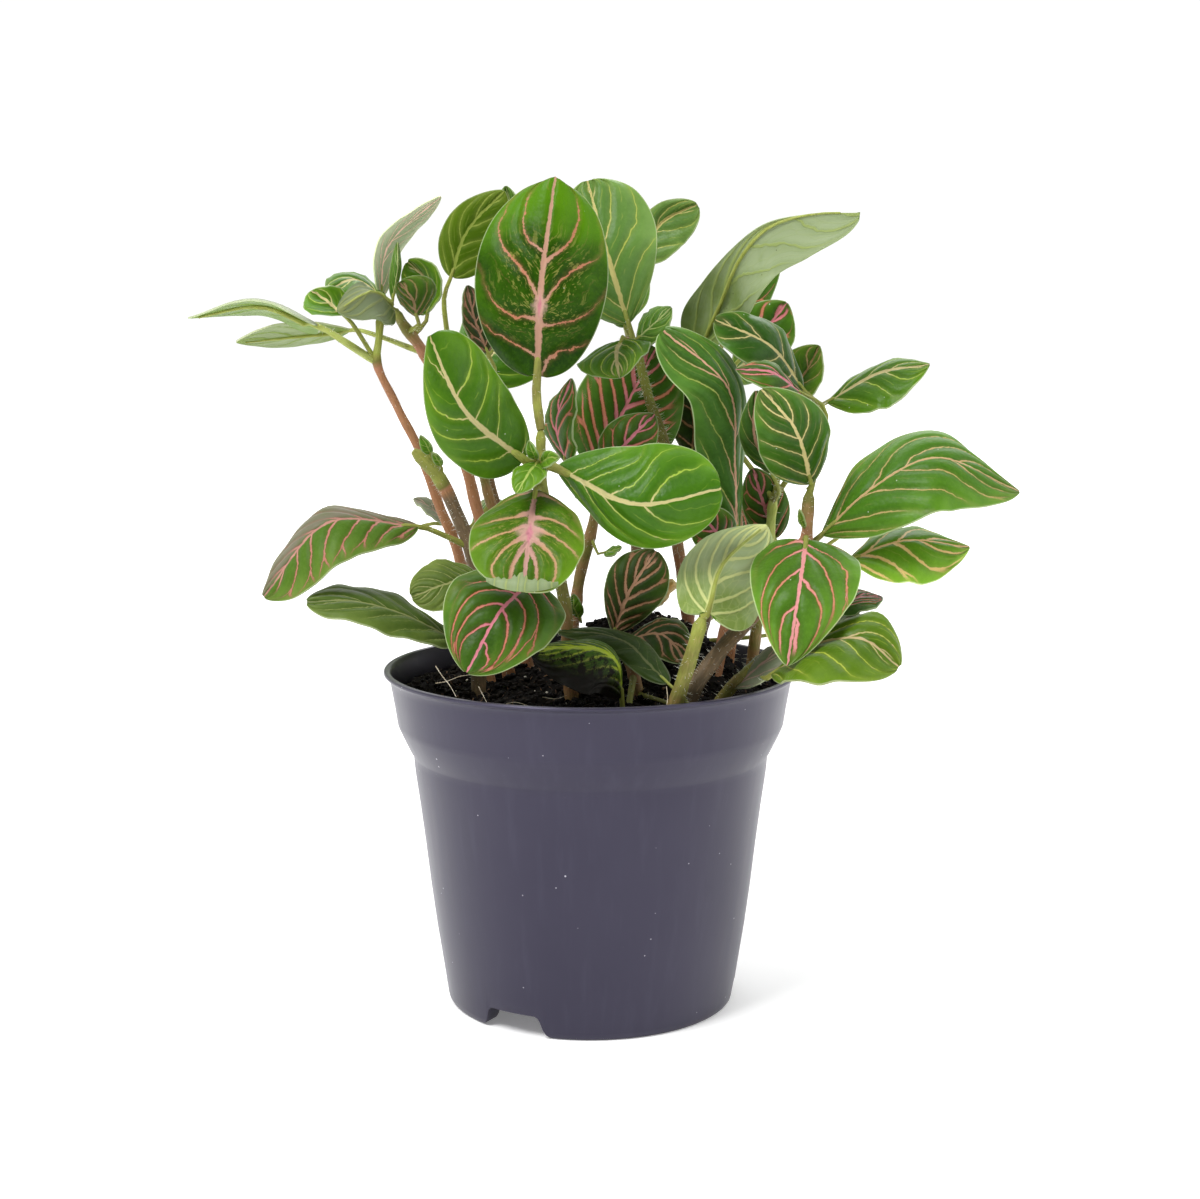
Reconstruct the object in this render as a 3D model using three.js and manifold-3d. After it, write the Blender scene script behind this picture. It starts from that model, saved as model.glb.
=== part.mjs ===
// A nerve plant in a thin plastic nursery pot: pot, soil and one solid for each leafy stem.
// Millimetres, +Z up. The origin is on the pot's axis, level with the feet it stands on.

import * as THREE from "three";
import { mergeVertices } from "three/addons/utils/BufferGeometryUtils.js";
import Module from "manifold-3d";

const wasm = await Module();
wasm.setup();

// Pot
const rimHeight = 98;
const rimRadius = 60;
const potSides = 28;
const wallFoot = { r: 42.2, z: 1.2 };
const wallTop = { r: 51, z: 66.5 };
const wall = 1.2;
const floorUnder = 6;
const footWidth = 1.3;
const lip = { height: 4.5, round: 2.6, inset: 3.8 };
const notch = { count: 3, first: -122, width: 27, height: 6.6, depth: 6 };
const drain = { count: 4, radius: 3.4, ring: 27, sides: 8 };

// Soil
const soilLevel = 91.5;
const soilGap = 0.35;
const soilRings = 6;
const mound = { x: 15, y: 14, height: 19, alongX: 25, alongY: 19 };
const clods = { coarse: 0.8, fine: 0.5, within: 54, fade: 12 };
const holeGap = 0.4;

// Stems and leaf stalks
const stemSides = 6;
const stalk = { thick: [2, 1.2], sides: 4, swing: 0.35, underRib: 0.08 };

// Leaf blades. Swell and wave are parts of the blade's breadth, and ends is the part of its
// length that is cut off at each point. A blade wider than fourLanes has two lanes a side.
const bladeThickness = 0.8;
const swell = 0.06;
const wave = { height: 0.025, turns: 14, shift: 2 };
const ends = 0.015;
const tile = { length: 8, fewest: 3, most: 7, fourLanes: 29 };

const greens = { young: 0x6d9c38, mature: 0x34682b, under: 0x93a883 };

// The picture's viewpoint. A place is read in the picture as mm right of the pot's axis and
// mm above the rim, as they look at the pot's distance, with its depth behind the axis.
const eye = new THREE.Vector3(2.7, -588, 208);
const lookDown = THREE.MathUtils.degToRad(8.7);

function seen([right, above, depth]) {
  const point = new THREE.Vector3(
    right,
    above * Math.sin(lookDown),
    rimHeight + above * Math.cos(lookDown),
  );
  const ray = point.sub(eye);
  return ray.multiplyScalar((depth - eye.y) / ray.y).add(eye);
}

// Blade outlines: half width = t ** base * (1 - t) ** tip, from leaf base to leaf tip
const outlines = {
  oval: { base: 0.55, tip: 0.72 },
  round: { base: 0.5, tip: 0.5 },
  heart: { base: 0.42, tip: 0.85 },
  taper: { base: 0.85, tip: 0.85 },
  spoon: { base: 0.95, tip: 0.6 },
};

// Each stem's route runs from its foot in the soil to its top. A leaf grows from a place on
// the route, and its blade follows its rib and reaches out to its left and right edges.
const stems = {
  left: {
    green: greens.under,
    thick: [3.8, 2],
    route: [
      [-28.5, -8, 6], [-33.5, 12, 6], [-39, 34.5, 4], [-44.5, 48, 4], [-49.5, 62, 3],
      [-56, 75, 3], [-62.5, 87.5, 2], [-61, 95, 3], [-60.5, 102, 5],
    ],
    leaves: [
      { from: 6, shape: "oval", left: [-95.5, 106.5, -4], right: [-95.5, 103, 19],
        rib: [[-79, 98.5, 6], [-95.5, 105, 8], [-117, 101, 8]] },
      { from: 6, shape: "oval", left: [-83.5, 104, -6], right: [-71, 108.5, -6],
        rib: [[-72, 102, -2], [-76.5, 106, -10], [-81, 109, -14]] },
      { from: 8, shape: "oval", left: [-69.5, 108.5, -4], right: [-66.5, 113, 15],
        rib: [[-59.5, 106.5, 5], [-68, 112, 6], [-76.5, 109, -2]] },
      { from: 7.6, shape: "oval", left: [-65.5, 117.5, 6], right: [-55.5, 120, 18],
        rib: [[-61, 107.5, 8], [-59, 121.5, 10], [-43.5, 136.5, 8]] },
      { from: 8, shape: "oval", left: [-58, 115.5, 4], right: [-55, 116, 4],
        rib: [[-57.5, 106.5, 4], [-56, 115.5, 0], [-56, 123, 2]] },
    ],
  },
  inner: {
    green: greens.young,
    thick: [4, 2.8],
    route: [
      [-23, -8, 17], [-28, 25, 15], [-34, 49.5, 13], [-40.5, 73, 12], [-48.5, 91, 8],
      [-54, 98.5, 4], [-56.5, 103, -2],
    ],
    leaves: [
      { from: 4, shape: "taper", left: [-84.5, 100, 18], right: [-89.5, 92.5, 34],
        rib: [[-69.5, 97.5, 24], [-86, 96, 26], [-103, 94, 24]] },
      { from: 6, shape: "oval", left: [-62, 101, -22], right: [-65, 110, -10],
        rib: [[-57, 103.5, -4], [-64, 108.5, -18], [-73.5, 103, -24]] },
      { from: 4.6, shape: "round", left: [-55, 110, 15], right: [-42, 111, 4],
        rib: [[-47.5, 102, 8], [-46, 110, 10], [-53, 117.5, 12]] },
      { from: 4.8, shape: "round", left: [-55, 104.5, 0], right: [-45, 110.5, -2],
        rib: [[-50.5, 101.5, -2], [-52, 107, -6], [-55.5, 111.5, -6]] },
      { from: 1, shape: "oval", left: [-22.5, 39.5, 28], right: [-17.5, 26.5, 32],
        rib: [[-27, 31, 20], [-20.5, 33, 30], [-12.5, 36.5, 40]] },
    ],
  },
  backLeft: {
    green: greens.mature,
    thick: [3.8, 2],
    route: [
      [-17, -7, 28], [-24.5, 31, 27], [-30, 51, 26], [-37, 76, 27], [-41.5, 95, 28],
    ],
    leaves: [
      { from: 1.8, shape: "oval", left: [-46.5, 43.5, 18], right: [-45, 48, 30],
        rib: [[-42, 41.5, 24], [-46.5, 46, 24], [-51.5, 48.5, 24]] },
      { from: 4, shape: "oval", left: [-43, 127.5, 32], right: [-26.5, 121, 30],
        rib: [[-40.5, 113, 30], [-36, 126, 30], [-25, 138, 28]] },
      { from: 3.2, shape: "oval", left: [-28.5, 123.5, 42], right: [-16, 126.5, 36],
        rib: [[-23.5, 109, 38], [-21.5, 123.5, 40], [-24.5, 139.5, 38]] },
      { from: 3, shape: "oval", left: [-37, 99, 12], right: [-28.5, 101, 20],
        rib: [[-30, 91, 16], [-33.5, 100, 14], [-36, 110.5, 14]] },
      { from: 2, shape: "oval", left: [-42, 65.5, 36], right: [-26.5, 68, 38],
        rib: [[-31.5, 59.5, 30], [-35, 65.5, 38], [-39.5, 79.5, 44]] },
    ],
  },
  cut: {
    green: greens.young,
    thick: [4.4, 3.8],
    route: [
      [-32.5, -9, -10], [-32.5, 16.5, -7], [-35, 34.5, -4], [-39.5, 45.5, -4], [-43.5, 54, -5],
      [-47, 58.5, -6], [-51.5, 62.5, -7],
    ],
    leaves: [
      { from: 1.2, shape: "round", left: [-41, 16, -26], right: [-40.5, 32, -14],
        rib: [[-32.5, 26, -16], [-41.5, 24, -22], [-52, 20, -24]] },
      { from: 2, shape: "oval", left: [-70, 29, -30], right: [-73, 46.5, -8],
        rib: [[-50, 40.5, -10], [-76.5, 41.5, -20], [-95, 20, -22]] },
      { from: 0.9, shape: "spoon", left: [-64, 9, -34], right: [-65.5, 23.5, -14],
        rib: [[-45, 11, -18], [-63.5, 17.5, -26], [-82.5, 17.5, -30]] },
      { from: 5, shape: "oval", left: [-49.5, 63.5, -11], right: [-46.5, 65, -12],
        rib: [[-46.5, 61.5, -8], [-47.5, 64, -11], [-49.5, 67, -12]] },
      { from: 4, shape: "oval", left: [-46, 60, -12], right: [-43.5, 61, -13],
        rib: [[-43.5, 58, -8], [-44.5, 60, -12], [-46, 62, -14]] },
    ],
  },
  front: {
    green: greens.young,
    thick: [4.2, 2.6],
    route: [
      [-5.5, -10.5, -14], [-7, 13.5, -16], [-8.5, 23.5, -18], [-11, 35, -22], [-13.5, 48, -27],
      [-14.5, 58.5, -31], [-14.5, 68.5, -31],
    ],
    leaves: [
      { from: 6, shape: "oval", left: [-34, 109, -27], right: [4.5, 107.5, -26],
        rib: [[-15.5, 84, -30], [-14.5, 109, -34], [-10.5, 140.5, -25]] },
      { from: 5, shape: "oval", left: [-46.5, 68, -41], right: [-25, 83.5, -35],
        rib: [[-19.5, 60, -33], [-36.5, 74, -43], [-47, 96, -40]] },
      { from: 5, shape: "round", left: [18, 64.5, -39], right: [12, 33.5, -43],
        rib: [[-10, 57.5, -33], [13.5, 47, -49], [38, 51.5, -47]] },
      { from: 4.2, shape: "round", left: [-1.5, 38, -46], right: [-35, 38, -46],
        rib: [[-16, 51, -34], [-18, 36.5, -49], [-18, 25.5, -58], [-17.5, 23.5, -62]] },
      { from: 2.6, shape: "round", left: [-7.5, 12, -42], right: [-44, 20, -44],
        rib: [[-17, 24.5, -34], [-26.5, 15.5, -48], [-36, -2, -54]] },
      { from: 5, shape: "oval", left: [-12, 63, -39], right: [-12, 58, -41],
        rib: [[-14.5, 59, -34], [-12, 60.5, -39], [-9, 60.5, -42]] },
      { from: 5, shape: "oval", left: [-14.5, 53, -44], right: [-22.5, 56.5, -39],
        rib: [[-15.5, 59, -34], [-18, 56, -41], [-21.5, 50, -45]] },
      { from: 5, shape: "oval", left: [-19, 62.5, -36], right: [-15.5, 62.5, -37],
        rib: [[-16, 60, -33], [-17, 62.5, -36], [-18, 65.5, -37]] },
    ],
  },
  centre: {
    green: greens.mature,
    thick: [3.8, 2.8],
    route: [
      [-7, -8, 12], [-5, 12, 10], [-3, 26.5, 8], [0, 38, 5], [2, 49.5, 0],
      [2.5, 57, -4],
    ],
    leaves: [
      { from: 5, shape: "round", left: [-4, 79.5, 9], right: [27, 71.5, 12],
        rib: [[1.5, 57, 6], [9, 73, 6], [19, 92.5, 12]] },
      { from: 5, shape: "oval", left: [-13.5, 70, -2], right: [-5, 72, -18],
        rib: [[-7, 59, -8], [-10, 70, -11], [-5.5, 83.5, -8]] },
      { from: 5, shape: "oval", left: [1, 65, -14], right: [17, 59.5, -18],
        rib: [[4, 56.5, -14], [11, 65.5, -19], [18.5, 73, -14]] },
      { from: 1.5, shape: "oval", left: [-6.5, 17, 2], right: [-2.5, 18, 1],
        rib: [[-3.5, 14, 4], [-5, 17.5, 1], [-5, 21, 0]] },
      { from: 3, shape: "oval", left: [6, 34.5, 1], right: [6.5, 32, -4],
        rib: [[4, 33, 0], [6, 33.5, -2], [9, 34.5, -3]] },
      { from: 4, shape: "oval", left: [4, 71.5, 22], right: [18.5, 65.5, 26],
        rib: [[4.5, 62, 14], [10, 70, 24], [14.5, 78.5, 36]] },
    ],
  },
  hairy: {
    green: greens.mature,
    thick: [4.2, 2.6],
    route: [
      [29.5, -8, 26], [28, 16.5, 21], [25.5, 33.5, 14], [23.5, 51, 8], [21.5, 64.5, 4],
      [17, 77.5, 0], [13.5, 91, -4],
    ],
    leaves: [
      { from: 6, shape: "round", left: [-10, 119, 2], right: [20, 123.5, 0],
        rib: [[11, 99.5, 0], [5, 119, -4], [-1, 141, 4]] },
      { from: 6, shape: "heart", left: [18, 94, -10], right: [-5, 85, -12],
        rib: [[9, 94.5, -6], [7.5, 90.5, -14], [8.5, 83.5, -20]] },
      { from: 6, shape: "oval", left: [15.5, 102, 2], right: [22.5, 97, -10],
        rib: [[13.5, 95, -4], [18.5, 99.5, -6], [23.5, 104, -6]] },
      { from: 6, shape: "oval", left: [3.5, 105, 12], right: [9, 107, 12],
        rib: [[10, 98.5, 6], [6.5, 105.5, 10], [4.5, 110, 12]] },
      { from: 3.6, shape: "oval", left: [23.5, 71.5, 22], right: [33, 74, 16],
        rib: [[29.5, 61.5, 20], [30, 71.5, 20], [27, 85.5, 20]] },
      { from: 1, shape: "oval", left: [29, 25.5, 30], right: [42, 22, 32],
        rib: [[29.5, 19, 24], [34, 25, 30], [42, 33, 36]] },
    ],
  },
  erect: {
    green: greens.mature,
    thick: [4, 2.8],
    route: [
      [35, -8, 0], [39, 10.5, 0], [42, 23.5, 2], [42.5, 32.5, 2],
    ],
    leaves: [
      { from: 3, shape: "taper", left: [30, 71.5, -14], right: [48, 65.5, 4],
        rib: [[42.5, 35, 2], [42, 58.5, -8], [40, 80.5, -16], [21, 97.5, -18]] },
      { from: 2.6, shape: "oval", left: [27.5, 39, -10], right: [40.5, 44.5, -8],
        rib: [[39.5, 34.5, -4], [35.5, 40, -9], [30, 46, -10]] },
    ],
  },
  tall: {
    green: greens.under,
    thick: [4, 2.4],
    route: [
      [38.5, -7, 18], [42, 19, 17], [42.5, 42.5, 16], [40, 65.5, 15], [36.5, 84.5, 13],
      [34.5, 93, 12],
    ],
    leaves: [
      { from: 5, shape: "oval", left: [55, 112, -10], right: [38.5, 119, 12],
        rib: [[34.5, 96.5, 10], [38, 106.5, 6], [44.5, 119.5, 0], [58, 129, -8], [78.5, 131.5, -14]] },
      { from: 3, shape: "oval", left: [33, 64, 30], right: [44.5, 65.5, 32],
        rib: [[40.5, 59.5, 22], [37.5, 65.5, 32], [35, 77.5, 40]] },
    ],
  },
  pale: {
    green: greens.mature,
    thick: [3.8, 2.6],
    route: [
      [46, -8, 10], [48, 10.5, 8], [51, 31, 8], [53, 48, 8],
    ],
    leaves: [
      { from: 3, shape: "oval", left: [44.5, 103, 28], right: [59.5, 94, 24],
        rib: [[45.5, 91, 26], [51.5, 98.5, 26], [57, 105.5, 24]] },
      { from: 3, shape: "oval", left: [56.5, 91, 36], right: [67.5, 83, 28],
        rib: [[57, 76.5, 34], [62.5, 85.5, 33], [66.5, 93, 30]] },
      { from: 3, shape: "round", left: [46, 87, -15], right: [56.5, 96.5, 0],
        rib: [[61.5, 80.5, 0], [52, 93, -9], [36, 100.5, -9]] },
      { from: 3, shape: "oval", left: [42.5, 67.5, -14], right: [55, 70, -18],
        rib: [[52.5, 56, -8], [47.5, 67, -16], [48, 80, -15]] },
      { from: 2.4, shape: "oval", left: [44, 46, 12], right: [58, 46, 12],
        rib: [[53.5, 37, 10], [50.5, 46, 9], [47, 57.5, 8]] },
      { from: 3, shape: "taper", left: [80.5, 86.5, 18], right: [83.5, 74, 2],
        rib: [[68.5, 76.5, 14], [83.5, 85, 10], [98.5, 87.5, 4]] },
    ],
  },
  right: {
    green: greens.young,
    thick: [5, 2.8],
    route: [
      [26, -14.5, -42], [31.5, -4, -40], [38.5, 5.5, -36], [47, 14.5, -30], [55.5, 25, -26],
      [62, 35, -26], [63, 44.5, -25], [63.5, 51, -23],
    ],
    leaves: [
      { from: 6.4, shape: "taper", left: [50.5, 80.5, -29], right: [52.5, 88, -19],
        rib: [[61.5, 79, -16], [52, 85.5, -25], [42, 86, -23]] },
      { from: 7, shape: "oval", left: [49, 62, -31], right: [69, 70, -27],
        rib: [[64, 53, -23], [59.5, 68.5, -34], [49.5, 80.5, -34]] },
      { from: 5, shape: "taper", left: [86, 65.5, -14], right: [94, 41.5, -42],
        rib: [[67, 38, -24], [81.5, 51.5, -29], [100, 60.5, -30], [124.5, 50.5, -26]] },
      { from: 5, shape: "taper", left: [91, 40.5, -14], right: [90.5, 23.5, -34],
        rib: [[75, 31, -25], [91, 36.5, -27], [110, 34.5, -24]] },
      { from: 5, shape: "heart", left: [78.5, 27.5, -40], right: [46, 26, -42],
        rib: [[62.5, 36.5, -32], [60.5, 22, -52], [57, 0, -60]] },
      { from: 6, shape: "oval", left: [60, 42.5, -29], right: [62, 43, -30],
        rib: [[62, 40, -27], [61, 42.5, -29], [60.5, 45.5, -31]] },
    ],
  },
  lowFront: {
    green: greens.under,
    thick: [4.4, 3.6],
    route: [
      [22.5, -16, -46], [26.5, -5.5, -46], [30, 6, -47], [32.5, 14, -46],
    ],
    leaves: [
      { from: 3, shape: "oval", left: [52, 22.5, -34], right: [24, 25, -38],
        rib: [[34, 15.5, -46], [38, 29, -38], [51, 41, -28]] },
    ],
  },
  lowRight: {
    green: greens.young,
    thick: [3.6, 2.6],
    route: [
      [35, -13.5, -30], [42, -5, -31], [52.5, 3.5, -28], [60.5, 7.5, -26],
    ],
    leaves: [
      { from: 3, shape: "oval", left: [78, 23.5, -8], right: [77.5, 15, -26],
        rib: [[71, 16.5, -18], [78, 20, -18], [84.5, 20, -16]] },
      { from: 3, shape: "taper", left: [74, 14.5, -18], right: [76, 10, -32],
        rib: [[64, 6.5, -24], [74.5, 13, -26], [84, 15, -22]] },
      { from: 2, shape: "spoon", left: [80, 15, -45], right: [75, -6.5, -77],
        rib: [[52.5, -4, -40], [66.5, 5.5, -51], [79.5, 6.5, -58], [89.5, -1, -61]] },
      { from: 1, shape: "taper", left: [47, 2, -28], right: [53, -2.5, -38],
        rib: [[41.5, -6.5, -32], [49.5, 0.5, -33], [59, 7.5, -32]] },
    ],
  },
  lowCentre: {
    green: greens.mature,
    thick: [3.2, 2.6],
    route: [
      [14.5, -12, -15], [12.5, -2.5, -13], [9, 5.5, -9],
    ],
    leaves: [
      { from: 2, shape: "round", left: [2.5, 23, -4], right: [23, 22.5, -7],
        rib: [[6.5, 9, -5], [11.5, 22, -7], [19, 33.5, -3]] },
      { from: 1, shape: "oval", left: [18, 3.5, -26], right: [22.5, 14, -12],
        rib: [[10, 7.5, -12], [21, 9, -20], [28, 1, -24]] },
      { from: 1, shape: "taper", left: [-1.5, -1.5, -38], right: [1, 9.5, -22],
        rib: [[11, 0.5, -26], [0, 7.5, -30], [-14, 4, -32]] },
    ],
  },
  rearLeft: {
    green: greens.mature,
    thick: [4, 2.6],
    route: [
      [-12.5, -7, 40], [-20, 19, 42], [-26.5, 42.5, 45], [-32, 65.5, 49], [-36, 80, 53],
    ],
    leaves: [
      { from: 4, shape: "oval", left: [-32.5, 110.5, 66], right: [-4.5, 100.5, 62],
        rib: [[-35, 82, 56], [-25, 97.5, 62], [-12.5, 128, 66]] },
      { from: 4, shape: "oval", left: [-40.5, 73, 64], right: [-23, 68, 66],
        rib: [[-35, 79, 56], [-34, 71.5, 66], [-37.5, 59.5, 72]] },
      { from: 3, shape: "oval", left: [-45, 70.5, 62], right: [-34, 76.5, 56],
        rib: [[-33.5, 67, 52], [-39.5, 71.5, 58], [-44.5, 81.5, 64]] },
      { from: 2, shape: "oval", left: [-28.5, 34.5, 62], right: [-6.5, 35, 64],
        rib: [[-24, 42, 49], [-19.5, 38, 62], [-17.5, 25.5, 74]] },
      { from: 2, shape: "oval", left: [-35, 40, 60], right: [-26.5, 49.5, 62],
        rib: [[-29.5, 42.5, 48], [-32, 44.5, 56], [-31.5, 48, 66]] },
      { from: 1, shape: "oval", left: [-39.5, 18.5, 58], right: [-20, 13.5, 62],
        rib: [[-23, 19, 46], [-30, 18, 60], [-35.5, 10, 74]] },
      { from: 0.9, shape: "oval", left: [-19.5, 10, 62], right: [-7, 15.5, 60],
        rib: [[-16, 17.5, 46], [-12.5, 14.5, 60], [-12.5, 7.5, 74]] },
      { from: 1.4, shape: "taper", left: [-70, 41.5, 40], right: [-70, 32, 48],
        rib: [[-53, 39.5, 36], [-69.5, 36.5, 44], [-86.5, 29, 48]] },
      { from: 0.9, shape: "taper", left: [-61, 20.5, 38], right: [-61, 11, 46],
        rib: [[-46, 12, 32], [-59.5, 16.5, 42], [-76.5, 18, 48]] },
    ],
  },
  rearMiddle: {
    green: greens.mature,
    thick: [4, 2.6],
    route: [
      [15, -7, 40], [14.5, 19, 42], [12.5, 42.5, 45], [11, 65.5, 48], [11, 83, 50],
      [11, 96, 52],
    ],
    leaves: [
      { from: 5, shape: "round", left: [19, 134.5, 38], right: [29, 124.5, 34],
        rib: [[12.5, 117.5, 36], [21, 129, 38], [31, 134, 34]] },
      { from: 5, shape: "oval", left: [-2.5, 115.5, 66], right: [16.5, 115, 66],
        rib: [[9.5, 100, 56], [6, 112, 62], [2, 131, 66]] },
      { from: 4.2, shape: "oval", left: [14.5, 74, 64], right: [29, 78.5, 66],
        rib: [[12.5, 85.5, 54], [20, 79.5, 66], [22.5, 65.5, 74]] },
      { from: 4, shape: "oval", left: [-3.5, 78, 62], right: [10, 68.5, 66],
        rib: [[8, 81.5, 54], [1.5, 77.5, 64], [0, 63.5, 72]] },
      { from: 2.6, shape: "oval", left: [2.5, 45.5, 66], right: [2.5, 58, 58],
        rib: [[9.5, 57, 50], [2.5, 51, 60], [-4.5, 49, 68]] },
      { from: 2.6, shape: "oval", left: [21, 59.5, 58], right: [19.5, 42.5, 66],
        rib: [[14.5, 57.5, 50], [22.5, 52.5, 62], [32.5, 48, 70]] },
      { from: 1, shape: "oval", left: [6, 19, 62], right: [21, 20, 62],
        rib: [[14.5, 18, 46], [13, 22, 60], [12.5, 25, 76]] },
    ],
  },
  rearRight: {
    green: greens.mature,
    thick: [4, 2.6],
    route: [
      [28, -7.5, 36], [33, 13.5, 38], [40, 36.5, 41], [41, 65.5, 46], [38, 86, 50],
    ],
    leaves: [
      { from: 4, shape: "oval", left: [38, 113.5, 62], right: [54.5, 110.5, 64],
        rib: [[38.5, 94.5, 54], [43.5, 107.5, 62], [54.5, 122, 66]] },
      { from: 4, shape: "oval", left: [46, 95, 62], right: [49.5, 83.5, 68],
        rib: [[41, 85.5, 54], [47, 89, 62], [53.5, 90, 72]] },
      { from: 3, shape: "oval", left: [51.5, 76.5, 60], right: [53.5, 59.5, 66],
        rib: [[42.5, 68, 52], [52, 69, 62], [62.5, 63.5, 70]] },
      { from: 3, shape: "oval", left: [30.5, 70.5, 60], right: [39, 80, 64],
        rib: [[39, 68, 52], [34.5, 74.5, 62], [29, 83, 68]] },
      { from: 2, shape: "oval", left: [45.5, 48, 60], right: [58, 44, 62],
        rib: [[44, 38.5, 48], [51.5, 44.5, 58], [53.5, 54, 68]] },
      { from: 1.5, shape: "oval", left: [56, 34.5, 54], right: [56, 18, 64],
        rib: [[43.5, 28, 46], [55.5, 27.5, 58], [70, 25, 66]] },
      { from: 1, shape: "oval", left: [31.5, 18, 62], right: [44.5, 15.5, 62],
        rib: [[36, 15, 46], [38, 19, 60], [39, 22, 74]] },
      { from: 1.6, shape: "oval", left: [92, 61, 48], right: [91, 46.5, 54],
        rib: [[78.5, 43.5, 44], [91, 53.5, 50], [107.5, 56, 54]] },
      { from: 0.7, shape: "taper", left: [71.5, 16.5, 46], right: [71.5, 5.5, 54],
        rib: [[58, 10, 40], [71.5, 12, 50], [86, 8, 58]] },
    ],
  },
};

// A closed solid from any geometry whose faces point outwards
function solidOf(geometry) {
  const bare = new THREE.BufferGeometry();
  bare.setAttribute("position", geometry.getAttribute("position"));
  bare.setIndex(geometry.getIndex());
  const merged = mergeVertices(bare, 1e-4);
  const index = Array.from(merged.getIndex().array);
  const triangles = [];
  for (let i = 0; i < index.length; i += 3) {
    const [a, b, c] = index.slice(i, i + 3);
    if (a !== b && b !== c && c !== a) {
      triangles.push(a, b, c);
    }
  }
  const mesh = new wasm.Mesh({
    numProp: 3,
    vertProperties: Float32Array.from(merged.getAttribute("position").array),
    triVerts: Uint32Array.from(triangles),
  });
  return new wasm.Manifold(mesh);
}

function meshOf(name, solid, look) {
  const { vertProperties, triVerts } = solid.getMesh();
  const geometry = new THREE.BufferGeometry();
  geometry.setAttribute("position", new THREE.BufferAttribute(vertProperties, 3));
  geometry.setIndex(new THREE.BufferAttribute(triVerts, 1));
  geometry.computeVertexNormals();
  const mesh = new THREE.Mesh(geometry, new THREE.MeshStandardMaterial(look));
  mesh.name = name;
  return mesh;
}

function fromCorners(corners, triangles) {
  const geometry = new THREE.BufferGeometry().setFromPoints(corners);
  geometry.setIndex(triangles);
  return solidOf(geometry);
}

const curveThrough = (places) => new THREE.CatmullRomCurve3(places);

// A round rod along a curve. grow widens it all round and past both ends.
function rod(curve, { thick, sides, steps, grow = 0 }) {
  const frames = curve.computeFrenetFrames(steps, false);
  const corners = [];
  for (let i = 0; i <= steps; i += 1) {
    const t = i / steps;
    const radius = THREE.MathUtils.lerp(thick[0], thick[1], t) / 2 + grow;
    const centre = curve.getPointAt(t);
    if (i === 0) {
      centre.addScaledVector(frames.tangents[i], -grow);
    }
    if (i === steps) {
      centre.addScaledVector(frames.tangents[i], grow);
    }
    for (let k = 0; k < sides; k += 1) {
      const turn = (2 * Math.PI * k) / sides;
      corners.push(centre.clone()
        .addScaledVector(frames.normals[i], radius * Math.cos(turn))
        .addScaledVector(frames.binormals[i], radius * Math.sin(turn)));
    }
  }
  const triangles = [];
  const at = (i, k) => i * sides + (k % sides);
  for (let i = 0; i < steps; i += 1) {
    for (let k = 0; k < sides; k += 1) {
      triangles.push(at(i, k), at(i, k + 1), at(i + 1, k + 1));
      triangles.push(at(i, k), at(i + 1, k + 1), at(i + 1, k));
    }
  }
  for (let k = 1; k < sides - 1; k += 1) {
    triangles.push(at(0, 0), at(0, k + 1), at(0, k));
    triangles.push(at(steps, 0), at(steps, k), at(steps, k + 1));
  }
  return fromCorners(corners, triangles);
}

// A leaf's rib as a curve, and how far its blade reaches to each side of it where it is widest
function bladeFrame({ shape, rib, left, right }) {
  const curve = curveThrough(rib.map(seen));
  const { base, tip } = outlines[shape];
  const widest = base / (base + tip);
  const middle = curve.getPointAt(widest);
  const heading = curve.getTangentAt(widest);
  const across = [left, right].map((edge) => {
    const reach = seen(edge).sub(middle);
    return reach.addScaledVector(heading, -reach.dot(heading));
  });
  const full = widest ** base * (1 - widest) ** tip;
  const width = (t) => (t ** base * (1 - t) ** tip) / full;
  return { curve, heading, across, width };
}

// The triangles that close a plate whose top and under faces are grids of the same corners
function plateTriangles(steps, lanes) {
  const under = (steps + 1) * lanes;
  const triangles = [];
  for (let i = 0; i < steps; i += 1) {
    for (let j = 0; j < lanes - 1; j += 1) {
      const a = i * lanes + j;
      const [b, c, d] = [a + 1, a + lanes + 1, a + lanes];
      triangles.push(a, b, c, a, c, d);
      triangles.push(under + a, under + c, under + b, under + a, under + d, under + c);
    }
  }
  const close = (p, q) => triangles.push(p, q, under + q, p, under + q, under + p);
  for (let j = 0; j < lanes - 1; j += 1) {
    close(j + 1, j);
    close(steps * lanes + j, steps * lanes + j + 1);
  }
  for (let i = 0; i < steps; i += 1) {
    close(i * lanes, (i + 1) * lanes);
    close((i + 1) * lanes + lanes - 1, i * lanes + lanes - 1);
  }
  return triangles;
}

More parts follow.
